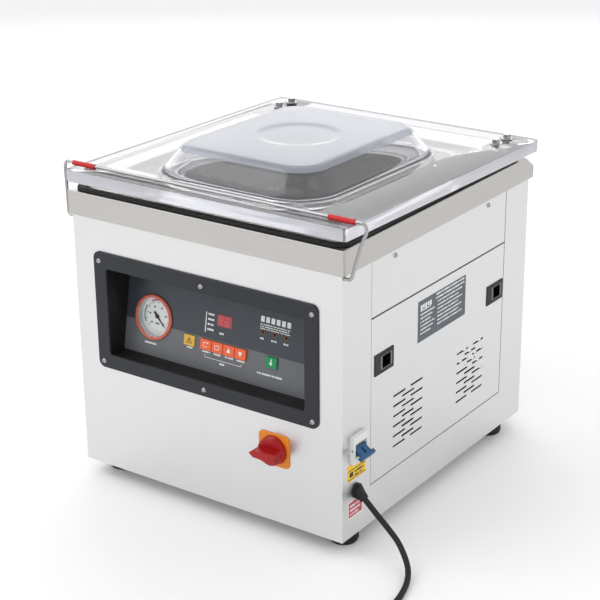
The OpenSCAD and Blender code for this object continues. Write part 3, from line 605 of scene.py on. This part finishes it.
# the lid: plate and blown dome in one piece
lidSizes = {
    "width": 496, "depth": 548, "middle": (0, 13), "bottom": 471.1, "thick": 18.5, "corner": 8,
    "edge": 1.2, "edgeBreak": 0.35, "hingeAt": (258, 450), "lift": 0.83,
    "domeAt": (9, -27), "domeWidth": 316, "domeDepth": 381, "domeCorner": 80, "domeRun": 47,
    # the crown height limit on the next line sets where the crown's painted reflection begins
    "domeHigh": 41, "crownThick": 5.5, "wall": 6, "foot": 1.5, "crownFrom": 33.5, "crownSteps": (0.35, 0.7),
    # radius and depth of the shallow round dish, from its edge to its middle
    "dish": [(70, 0), (66, 0.1), (62, 0.5), (58, 1.1), (54, 1.5), (50, 1.6), (34, 1.6), (16, 1.6),
             (4, 1.6)],
}
lidTop = lidSizes["bottom"] + lidSizes["thick"]
lidAngle = math.radians(lidSizes["lift"])


def standLid(point):
    # turns a point of the shut lid to where the lid stands
    hingeY, hingeZ = lidSizes["hingeAt"]
    y, z = point[1] - hingeY, point[2] - hingeZ
    return Vector((point[0], hingeY + y * math.cos(lidAngle) + z * math.sin(lidAngle),
                   hingeZ - y * math.sin(lidAngle) + z * math.cos(lidAngle))) * mm


def shutHeight(point):
    # how high a point of the standing lid lies when the lid is shut
    hingeY, hingeZ = lidSizes["hingeAt"]
    return hingeZ + (point.y - hingeY) * math.sin(lidAngle) + (point.z - hingeZ) * math.cos(lidAngle)


def roundedLoop(width, depth, radius, centre, perCorner=20, perSide=10):
    points = []
    halfW, halfD = width / 2 - radius, depth / 2 - radius
    for number, (sx, sy) in enumerate([(1, 1), (-1, 1), (-1, -1), (1, -1)]):
        start = number * 90
        for k in range(perCorner + 1):
            a = math.radians(start + 90 * k / perCorner)
            points.append((centre[0] + sx * halfW + radius * math.cos(a),
                           centre[1] + sy * halfD + radius * math.sin(a)))
        following = [(-1, 1), (-1, -1), (1, -1), (1, 1)][number]
        endAngle = math.radians(start + 90)
        first = points[-1]
        last = (centre[0] + following[0] * halfW + radius * math.cos(endAngle),
                centre[1] + following[1] * halfD + radius * math.sin(endAngle))
        for k in range(1, perSide):
            t = k / perSide
            points.append((first[0] + (last[0] - first[0]) * t, first[1] + (last[1] - first[1]) * t))
    return points


def domeRings(inset, height, base, steps=28):
    sizes = lidSizes
    rings = []
    for i in range(steps + 1):
        t = i / steps
        shrink = inset + sizes["domeRun"] * t
        loop = roundedLoop(sizes["domeWidth"] - 2 * shrink, sizes["domeDepth"] - 2 * shrink,
                           sizes["domeCorner"] - shrink, sizes["domeAt"])
        lift = height * (1 - math.cos(math.pi * t)) / 2
        rings.append([(x, y, base + lift) for x, y in loop])
    return rings


def crownRings(last, dished):
    # from the rounded square on top to circles about the middle
    centreX, centreY = lidSizes["domeAt"]
    brim = lidSizes["dish"][0][0]
    stages = [(share, brim, 0) for share in lidSizes["crownSteps"]]
    stages += [(1, radius, sink) for radius, sink in lidSizes["dish"]]
    rings = []
    for share, radius, sink in stages:
        ring = []
        for x, y, z in last:
            dx, dy = x - centreX, y - centreY
            away = math.hypot(dx, dy)
            reach = away + (radius - away) * share
            ring.append((centreX + dx / away * reach, centreY + dy / away * reach, z - sink * dished))
        rings.append(ring)
    return rings


def domeLoop(grow):
    # the dome's outline on the plate, made larger all round
    sizes = lidSizes
    return roundedLoop(sizes["domeWidth"] + 2 * grow, sizes["domeDepth"] + 2 * grow,
                       sizes["domeCorner"] + grow, sizes["domeAt"])


def buildLid():
    # inside of the dome, underside, outer edge, top, outside of the dome
    sizes = lidSizes
    bottom, thick = sizes["bottom"], sizes["thick"]
    edge, edgeBreak = sizes["edge"], sizes["edgeBreak"]
    innerDome = domeRings(sizes["wall"], sizes["domeHigh"] - sizes["crownThick"], lidTop)
    rings = list(reversed(crownRings(innerDome[-1], 0))) + list(reversed(innerDome))
    rings.append([(x, y, bottom + 1) for x, y in domeLoop(-sizes["wall"])])
    rings.append([(x, y, bottom) for x, y in domeLoop(1 - sizes["wall"])])
    for inset, rise in [(edge, 0), (edgeBreak, edgeBreak), (0, edge), (0, thick - edge),
                        (edgeBreak, thick - edgeBreak), (edge, thick)]:
        loop = roundedLoop(sizes["width"] - 2 * inset, sizes["depth"] - 2 * inset,
                           sizes["corner"] - inset, sizes["middle"])
        rings.append([(x, y, bottom + rise) for x, y in loop])
    rings.append([(x, y, lidTop) for x, y in domeLoop(sizes["foot"])])
    outerDome = domeRings(0, sizes["domeHigh"], lidTop)
    rings += outerDome + crownRings(outerDome[-1], 1)
    return stackRings([[standLid(p) for p in ring] for ring in rings])


def finishLid(mesh):
    # sawn outer edge duller than the plate; crown of the dome in a tinted, half-clear plastic that is a
    # painted reflection of the bright studio light
    halfWide, halfDeep = lidSizes["width"] / 2, lidSizes["depth"] / 2
    for face in mesh.polygons:
        centre = sum((mesh.vertices[v].co for v in face.vertices), Vector()) / len(face.vertices) / mm
        fromMiddle = abs(centre.y - lidSizes["middle"][1])
        onEdge = abs(centre.x) > halfWide - 1 or fromMiddle > halfDeep - 1
        if onEdge and abs(face.normal.z) < 0.5:
            face.material_index = 1
        # faces of the crown take the painted reflection material
        if shutHeight(centre) > lidTop + lidSizes["crownFrom"]:
            face.material_index = 2


lidPiece = makePiece("lidAcrylic", *buildLid(), "lid", finishes["acrylic"], "acrylic", 40)
# second material for the sawn edge, third for the crown's painted reflection
lidPiece.data.materials.append(finishes["acrylicEdge"])
lidPiece.data.materials.append(finishes["acrylicCrown"])
faceOutward(lidPiece.data)
finishLid(lidPiece.data)
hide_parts("lid")
print("lid made")

# bail wire
bailSizes = {"radius": 2.5, "pivot": (-252.0, 424.5), "bar": (-238.0, 501.58)}
barY, barZ = bailSizes["bar"]
pivotY, pivotZ = bailSizes["pivot"]
bailHalf = [Vector(p) for p in [
    (236, pivotY, pivotZ), (245, pivotY, pivotZ), (248.5, pivotY + 0.2, pivotZ + 0.4),
    (251.5, pivotY + 0.7, pivotZ + 3), (252.8, pivotY + 1.4, pivotZ + 7), (255.5, pivotY + 4, pivotZ + 22),
    (262, pivotY + 10, pivotZ + 52), (265.5, barY - 1, barZ - 14), (266, barY, barZ - 8),
    (264, barY, barZ - 2.5), (259, barY, barZ), (250, barY, barZ)]]
rightLeg = smoothPath(bailHalf, 6)
leftLeg = [Vector((-p.x, p.y, p.z)) for p in rightLeg]
bailLine = [p * mm for p in leftLeg + list(reversed(rightLeg))]
bailVerts, bailFaces = sweepTube(bailLine, bailSizes["radius"] * mm, 18)
bailPiece = makePiece("bailRod", bailVerts, bailFaces, "bail", finishes["bright_steel"], "bright_steel")
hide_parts("bail_wire")
print("bail made")

# printed marks

def markShape(outline, place, low, high):
    # one thin raised mark from a flat outline, through a placing function
    count = len(outline)
    verts = [place(u, v, low) for u, v in outline] + [place(u, v, high) for u, v in outline]
    faces = [tuple(range(count - 1, -1, -1)), tuple(count + k for k in range(count))]
    faces += [(k, (k + 1) % count, count + (k + 1) % count, count + k) for k in range(count)]
    return verts, faces


def printMarks(name, outlines, place, body, finish, low=0.02, high=0.14, slotName=None):
    verts, faces = [], []
    for outline in outlines:
        joinShape(*markShape(outline, place, low, high), verts, faces)
    piece = makePiece(name, verts, faces, body, finishes[finish], slotName or "dial_white")
    faceOutward(piece.data)
    return piece


def bar(x0, y0, x1, y1):
    return [(x0, y0), (x1, y0), (x1, y1), (x0, y1)]


def arc(cx, cy, inner, outer, start, stop, steps=16):
    turn = [math.radians(start + (stop - start) * k / steps) for k in range(steps + 1)]
    return ([(cx + outer * math.cos(a), cy + outer * math.sin(a)) for a in turn]
            + [(cx + inner * math.cos(a), cy + inner * math.sin(a)) for a in reversed(turn)])


def wordBars(x0, y, width, height, seedNumber):
    # a row of small blocks that stands for a line of lettering
    row = []
    x = x0
    number = seedNumber
    while x < x0 + width - 0.8:
        number = (number * 7 + 3) % 11
        step = 1.0 + 0.13 * number
        row.append(bar(x, y, min(x + step, x0 + width), y + height))
        x += step + (1.5 if number % 4 == 0 else 0.45)
    return row


def panelPlace(out):
    return lambda u, v, w: onPanel(u, v, out + w)


# what is printed on the panel; x and up are millimetres on its face
panelPrint = {
    # rows of lettering: x, up, width, height, seed of the block widths
    "rows": [(-2.5, 57.5, 8, 2.6, 3), (70.5, 66.8, 6.5, 2.6, 5), (90.2, 66.8, 9, 2.6, 7),
             (111.5, 66.8, 8, 2.6, 4), (-60, 24.6, 10.5, 2.4, 3), (2, 12, 11, 2.8, 6),
             (70, 15.5, 44, 2.8, 8), (-140, 14.5, 22, 2.8, 5), (69, 88.2, 52, 1.7, 4),
             (69, 84.9, 52, 1.7, 8), (69, 81.9, 52, 1.4, 6)],
    "modes": {"x": -25, "top": 82, "step": 7.6, "size": (11.5, 3.0)},
    "keyNames": {"x": -31, "up": 24.6, "step": 21.1, "size": (14.5, 2.6)},
    # line beside the modes and the bracket under the keys
    "lines": [(-29.2, 55.5, -27.7, 86), (-26, 17.6, 41.5, 18.3), (-26, 17.6, -25.3, 21.6),
              (40.8, 17.6, 41.5, 21.6)],
    "badge": {"x": 69, "step": 9.2, "blocks": 6, "wide": 6.4, "low": 92.6, "high": 101},
    "lamps": {"x": (73.7, 94.3, 114.8), "up": 77.5, "ring": (2.7, 3.5)},
    "digits": {"x": (-4.4, 6.2), "up": 72, "wide": 6.6, "high": 12.1, "stroke": 1.3,
               "upright": 4.8, "uprightsFrom": (0.8, 6.5)},
}


def drawLettering():
    marks = [bar(*line) for line in panelPrint["lines"]]
    modes, keyNames, badge = panelPrint["modes"], panelPrint["keyNames"], panelPrint["badge"]
    for x, up, width, height, seed in panelPrint["rows"]:
        marks += wordBars(x, up, width, height, seed)
    for number in range(4):
        marks += wordBars(modes["x"], modes["top"] - modes["step"] * number, *modes["size"], number + 2)
        marks += wordBars(keyNames["x"] + keyNames["step"] * number, keyNames["up"], *keyNames["size"],
                          number + 2)
    for number in range(badge["blocks"]):
        left = badge["x"] + badge["step"] * number
        marks.append(bar(left, badge["low"], left + badge["wide"], badge["high"]))
    return marks


def drawDigits():
    # two figures of seven bars behind the window
    digits = panelPrint["digits"]
    wide, high, stroke = digits["wide"], digits["high"], digits["stroke"]
    middle = (high - stroke) / 2
    rows = [bar(0.6, low, wide - 0.6, low + stroke) for low in (0, middle, high - stroke)]
    columns = [bar(left, low, left + stroke, low + digits["upright"])
               for left in (0, wide - stroke) for low in digits["uprightsFrom"]]
    return [[(x + u, digits["up"] + v) for u, v in segment]
            for x in digits["x"] for segment in rows + columns]


lamps = panelPrint["lamps"]
lampRings = [arc(x, lamps["up"], *lamps["ring"], 0, 359.9, 32) for x in lamps["x"]]
printMarks("panelLettering", drawLettering(), panelPlace(-0.2), "base", "printWhite", slotName="dial_white")
printMarks("lampRings", lampRings, panelPlace(-0.2), "base", "printAmber", slotName="lamp_red")
printMarks("displayDigits", drawDigits(), panelPlace(0.3), "base", "digitRed", slotName="display_red")

# key icons, each on its own key: place along the panel, finish and outlines about the key's middle
iconUp = 37
keyIcons = {
    "key_menu": (-54.7, "printBlack", [
        [(-5.2, -4), (5.2, -4), (5.0, -3.2), (-5.0, -3.2)],
        [(-5.4, -4), (-4.4, -4), (0.4, 4.4), (-0.4, 4.6)],
        [(4.4, -4), (5.4, -4), (0.4, 4.6), (-0.4, 4.4)],
        bar(-0.5, -1, 0.5, 2.2), bar(-0.5, -2.6, 0.5, -1.6)]),
    "key_previous": (-24, "printWhite", [
        arc(-0.5, 0, 3.2, 4.1, 40, 320), [(2.2, 2.0), (5.4, 2.4), (3.2, 4.6)]]),
    "key_next": (-2.9, "printWhite", [
        bar(-5, -3.2, 4, -2.3), bar(-5, 2.3, 4, 3.2), bar(-5, -3.2, -4.1, 3.2), bar(3.1, -3.2, 4, 3.2)]),
    "key_up": (18.2, "printWhite", [[(-3.6, -2.6), (3.6, -2.6), (0, 4.2)]]),
    "key_down": (39.3, "printWhite", [[(-3.6, 2.9), (0, -3.9), (3.6, 2.9)]]),
    "key_start": (94.5, "printWhite", [bar(-0.9, -0.5, 0.9, 5), [(-3, -0.5), (0, -4.6), (3, -0.5)]]),
}
for node, (x, finish, outlines) in keyIcons.items():
    moved = [[(x + u, iconUp + v) for u, v in outline] for outline in outlines]
    name = "icon" + node.split("_")[1].capitalize()
    printMarks(name, moved, panelPlace(2.5), bodyOf(node), finish, slotName="dial_white")


# gauge scale: ticks repeated round the dial by geometry nodes
def buildTicks(finish):
    tree = bpy.data.node_groups.new("dialTicks", "GeometryNodeTree")
    tree.interface.new_socket("Geometry", in_out="INPUT", socket_type="NodeSocketGeometry")
    tree.interface.new_socket("Ticks", in_out="INPUT", socket_type="NodeSocketInt")
    for label in ("Radius", "Length", "Width", "From", "To"):
        tree.interface.new_socket(label, in_out="INPUT", socket_type="NodeSocketFloat")
    tree.interface.new_socket("Geometry", in_out="OUTPUT", socket_type="NodeSocketGeometry")
    nodes = tree.nodes
    given, out = nodes.new("NodeGroupInput"), nodes.new("NodeGroupOutput")
    line = nodes.new("GeometryNodeMeshLine")
    line.inputs["Offset"].default_value = (0, 0, 0)
    index = nodes.new("GeometryNodeInputIndex")
    less = nodes.new("ShaderNodeMath")
    less.operation = "SUBTRACT"
    less.inputs[1].default_value = 1
    share = nodes.new("ShaderNodeMath")
    share.operation = "DIVIDE"
    angle = nodes.new("ShaderNodeMapRange")
    cosine, sine = nodes.new("ShaderNodeMath"), nodes.new("ShaderNodeMath")
    cosine.operation, sine.operation = "COSINE", "SINE"
    outward = nodes.new("ShaderNodeCombineXYZ")
    scaled = nodes.new("ShaderNodeVectorMath")
    scaled.operation = "SCALE"
    setPlace = nodes.new("GeometryNodeSetPosition")
    block = nodes.new("GeometryNodeMeshCube")
    blockSize = nodes.new("ShaderNodeCombineXYZ")
    blockSize.inputs["Z"].default_value = 0.00012
    turn = nodes.new("ShaderNodeCombineXYZ")
    spread = nodes.new("GeometryNodeInstanceOnPoints")
    real = nodes.new("GeometryNodeRealizeInstances")
    paint = nodes.new("GeometryNodeSetMaterial")
    paint.inputs["Material"].default_value = finishes[finish]
    for source, target in [
        (given.outputs["Ticks"], line.inputs["Count"]), (given.outputs["Ticks"], less.inputs[0]),
        (index.outputs[0], share.inputs[0]), (less.outputs[0], share.inputs[1]),
        (share.outputs[0], angle.inputs["Value"]), (given.outputs["From"], angle.inputs["To Min"]),
        (given.outputs["To"], angle.inputs["To Max"]), (angle.outputs["Result"], cosine.inputs[0]),
        (angle.outputs["Result"], sine.inputs[0]), (cosine.outputs[0], outward.inputs["X"]),
        (sine.outputs[0], outward.inputs["Y"]), (outward.outputs[0], scaled.inputs[0]),
        (given.outputs["Radius"], scaled.inputs["Scale"]),
        (line.outputs["Mesh"], setPlace.inputs["Geometry"]),
        (scaled.outputs[0], setPlace.inputs["Position"]),
        (given.outputs["Length"], blockSize.inputs["X"]),
        (given.outputs["Width"], blockSize.inputs["Y"]), (blockSize.outputs[0], block.inputs["Size"]),
        (angle.outputs["Result"], turn.inputs["Z"]), (setPlace.outputs[0], spread.inputs["Points"]),
        (block.outputs["Mesh"], spread.inputs["Instance"]), (turn.outputs[0], spread.inputs["Rotation"]),
        (spread.outputs[0], real.inputs[0]), (real.outputs[0], paint.inputs["Geometry"]),
        (paint.outputs[0], out.inputs[0]),
    ]:
        linkUp(tree, source, target)
    return tree


def gaugeTicks(name, tree, sizes):
    seedMesh = bpy.data.meshes.new(name + "Seed")
    raw = bpy.data.objects.new(name + "Raw", seedMesh)
    bpy.context.scene.collection.objects.link(raw)
    ticks = raw.modifiers.new("ticks", "NODES")
    ticks.node_group = tree
    for item in tree.interface.items_tree:
        if item.in_out == "INPUT" and item.name in sizes:
            ticks[item.identifier] = sizes[item.name]
    mesh = evaluatedMesh(raw)
    bpy.data.objects.remove(raw)
    lean = Matrix.Rotation(math.radians(90 - panel["lean"]), 4, "X")
    mesh.transform(Matrix.Translation(onPanel(*gauge["at"], gauge["ticksOut"])) @ lean)
    mesh.name = name
    return addPiece(name, mesh, "base")


gauge = {"at": (-125.5, 56.5), "dialOut": -9, "ticksOut": -8.93, "sweep": (225, -45), "figures": 6,
         "figureRadius": 15.2, "band": (24.2, 26.2), "green": (148, 208), "red": (58, 122),
         "unit": (-12.4, -9.8)}
tickTree = buildTicks("printBlack")
longTicks = {"Ticks": 11, "Radius": 0.0212, "Length": 0.0042, "Width": 0.0006,
             "From": math.radians(gauge["sweep"][0]), "To": math.radians(gauge["sweep"][1])}
gaugeTicks("gaugeLongTicks", tickTree, longTicks)
shortTicks = dict(longTicks, Ticks=51, Radius=0.0222, Length=0.0022, Width=0.0003)
gaugeTicks("gaugeShortTicks", tickTree, shortTicks)


def dialPlace(u, v, w):
    return onPanel(gauge["at"][0] + u, gauge["at"][1] + v, gauge["dialOut"] + w)


def drawFigures():
    # a pair of upright blocks for each figure round the dial, and the unit under the middle
    marks = []
    first, last = gauge["sweep"]
    for k in range(gauge["figures"]):
        turn = math.radians(first + (last - first) * k / (gauge["figures"] - 1))
        x = gauge["figureRadius"] * math.cos(turn)
        up = gauge["figureRadius"] * math.sin(turn)
        marks += [bar(x - 1.8, up - 1.3, x - 0.4, up + 1.3), bar(x + 0.4, up - 1.3, x + 1.8, up + 1.3)]
    low, high = gauge["unit"]
    return marks + [bar(left, low, right, high) for left, right in ((-3.4, -1.2), (-0.6, 1.2), (1.8, 3.6))]


greenBand = [arc(0, 0, *gauge["band"], *gauge["green"])]
redBand = [arc(0, 0, *gauge["band"], *gauge["red"])]
printMarks("gaugeGreenBand", greenBand, dialPlace, "base", "printGreen", slotName="dial_white")
printMarks("gaugeRedBand", redBand, dialPlace, "base", "printRed", slotName="gauge_red")
printMarks("gaugeFigures", drawFigures(), dialPlace, "base", "printBlack", slotName="needle_black")
print("panel printed")

# labels and rating plate on the right side, u toward the back and v up
sideFace = 240.2
ratingPrint = {"left": -52, "right": 74, "split": -4, "top": 322, "step": 6, "rows": 9, "letter": 2.2,
               "wideRows": 2, "wideLeft": -8, "wideLong": 84, "wideLetter": 2.6,
               "badge": {"blocks": 5, "step": 6.5, "wide": 4.5, "low": 312, "high": 320}}
pulls = {"middles": (-145.3, 176.5), "face": 241.1, "low": 258.4, "high": 279, "hole": 11,
         "front": 15.5, "back": 14.6, "rail": 0.8, "thick": 0.3}
warning = {"print": (-240, 57.5, -206, 81), "cut": (5.5, 5), "paper": (-242, 55.2, -204.2, 83.3),
           "paperCut": (6.8, 6.3), "rows": [(73, 25, 3.4, 3), (66.5, 26, 3.2, 5), (60.5, 22, 2.8, 7)]}


def sidePlace(u, v, w):
    return Vector((sideFace + w, u, v)) * mm


def drawRating():
    sizes = ratingPrint
    marks = []
    for row in range(sizes["rows"]):
        v = sizes["top"] - sizes["step"] * row
        if row < sizes["wideRows"]:
            marks += wordBars(sizes["wideLeft"], v, sizes["wideLong"], sizes["wideLetter"], row + 3)
            continue
        marks += wordBars(sizes["left"], v, 40 - 5 * (row % 3), sizes["letter"], row + 2)
        marks += wordBars(sizes["split"], v, 72 - 9 * (row % 2), sizes["letter"], row + 5)
    badge = sizes["badge"]
    for k in range(badge["blocks"]):
        left = sizes["left"] + badge["step"] * k
        marks.append(bar(left, badge["low"] + 2 * (k % 2), left + badge["wide"], badge["high"]))
    return [[(min(u, sizes["right"]), v) for u, v in outline] for outline in marks]


def drawPullFaces():
    # lighter face round each finger hole of a louvred cover
    low, high, hole, rail = pulls["low"], pulls["high"], pulls["hole"], pulls["rail"]
    marks = []
    for middle in pulls["middles"]:
        marks += [bar(middle - pulls["front"], low, middle - hole, high),
                  bar(middle + hole, low, middle + pulls["back"], high),
                  bar(middle - hole, low, middle + hole, low + rail),
                  bar(middle - hole, high - rail, middle + hole, high)]
    return marks


def cutCorner(left, low, right, high, cut):
    # a label with its upper back corner cut off
    return [(left, low), (right, low), (right, high - cut[1]), (right - cut[0], high), (left, high)]


printMarks("ratingLettering", drawRating(), sidePlace, "cover_right", "printWhite", slotName="dial_white")
for side, body in ((1, "cover_right"), (-1, "cover_left")):
    printMarks("pullFace" + body[6:].capitalize(), drawPullFaces(),
               lambda u, v, w, side=side: Vector((side * (pulls["face"] + w), u, v)) * mm,
               body, "pullGrey", 0.0, pulls["thick"], slotName="black_plastic")

earth = {"rules": [(-242, 131, -197.6, 132.2), (-242, 117, -197.6, 118.2)], "sign": (-238, 121, -229, 128.5),
         "rows": [(124.8, 24, 3.2, 4), (119.8, 20, 2.4, 6)]}
yellowMarks = [bar(*corners) for corners in earth["rules"] + [earth["sign"]]]
for v, width, height, seed in earth["rows"]:
    yellowMarks += wordBars(-225, v, width, height, seed)
warningWords = []
for v, width, height, seed in warning["rows"]:
    warningWords += wordBars(-237, v, width, height, seed)
redLabel = [cutCorner(*warning["print"], warning["cut"])]
whitePaper = [cutCorner(*warning["paper"], warning["paperCut"])]
printMarks("earthLabelMarks", yellowMarks, sidePlace, "base", "printBlack", slotName="needle_black")
printMarks("warningLabel", redLabel, sidePlace, "base", "printRed", 0.02, 0.1, slotName="gauge_red")
printMarks("warningLabelBase", whitePaper, sidePlace, "base", "printWhite", 0.004, 0.02,
           slotName="dial_white")
printMarks("warningMarks", warningWords, sidePlace, "base", "printWhite", 0.1, 0.18, slotName="dial_white")
print("labels printed")

# black strips in the seams beside and between the side covers: painted shade of the seam gaps
seams = {"front": -183.95, "back": 199.95, "middle": 343, "low": 86.05, "top": 427, "wide": 1.1,
         "inside": 238.55, "thick": 1.0}


def drawSeamShade():
    front, back, low, top, wide = [seams[key] for key in ("front", "back", "low", "top", "wide")]
    return [bar(front, low, front + wide, top), bar(back - wide, low, back, top),
            bar(front, seams["middle"] - wide, back, seams["middle"] + wide),
            bar(front, low, back, low + wide)]


# the black strips are painted shade in the seam gaps, on both sides
for side, label in ((1, "Right"), (-1, "Left")):
    printMarks("seamEdging" + label, drawSeamShade(),
               lambda u, v, w, side=side: Vector((side * (seams["inside"] + w), u, v)) * mm,
               "base", "printBlack", 0, seams["thick"], slotName="black_plastic")

# slots of the filler plate drawn as black marks: painted shade standing for the open slots seen through the
# dome
fillerSlots = {"x": (-110, -55, 0, 55, 110), "y": (-110, -40, 30, 100), "half": (20, 2.5)}
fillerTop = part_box("filler_plate")[1].z
halfLong, halfWide = fillerSlots["half"]
slotShadeMarks = [bar(x - halfLong, y - halfWide, x + halfLong, y + halfWide)
             for x in fillerSlots["x"] for y in fillerSlots["y"]]
# the black marks are painted shade, not cut slots
printMarks("fillerSlots", slotShadeMarks, lambda u, v, w: Vector((u * mm, v * mm, fillerTop + w * mm)),
           "filler_plate", "printBlack", slotName="black_plastic")

# floor and studio light
studio = {"floor": (0.95, 0.95, 0.95), "world": 0.92,
          "lamps": [((-1.6, -1.8, 2.6), 2.2, 24), ((2.4, -0.6, 2.2), 1.8, 6), ((-1.5, 2.1, 1.75), 2.6, 20)]}

floorMaterial = mouldedPlastic("studioFloor", studio["floor"], (0.75, 0.85), 20, 0.0, 0.0)
floorMesh = bpy.data.meshes.new("studioFloor")
floorMesh.from_pydata([(-9, -9, 0), (9, -9, 0), (9, 9, 0), (-9, 9, 0)], [], [(0, 1, 2, 3)])
floorMesh.materials.append(floorMaterial)
floorPiece = bpy.data.objects.new("studioFloor", floorMesh)
bpy.context.scene.collection.objects.link(floorPiece)

world = bpy.data.worlds.new("studio")
world.use_nodes = True
world.node_tree.nodes["Background"].inputs["Color"].default_value = (1, 1, 1, 1)
world.node_tree.nodes["Background"].inputs["Strength"].default_value = studio["world"]
bpy.context.scene.world = world
for number, (place, size, power) in enumerate(studio["lamps"]):
    lampData = bpy.data.lights.new("lamp" + str(number), "AREA")
    lampData.size = size
    lampData.energy = power
    lamp = bpy.data.objects.new("lamp" + str(number), lampData)
    lamp.location = place
    lamp.rotation_euler = (Vector((0, 0, 0.3)) - Vector(place)).to_track_quat("-Z", "Y").to_euler()
    bpy.context.scene.collection.objects.link(lamp)
print("studio lit")
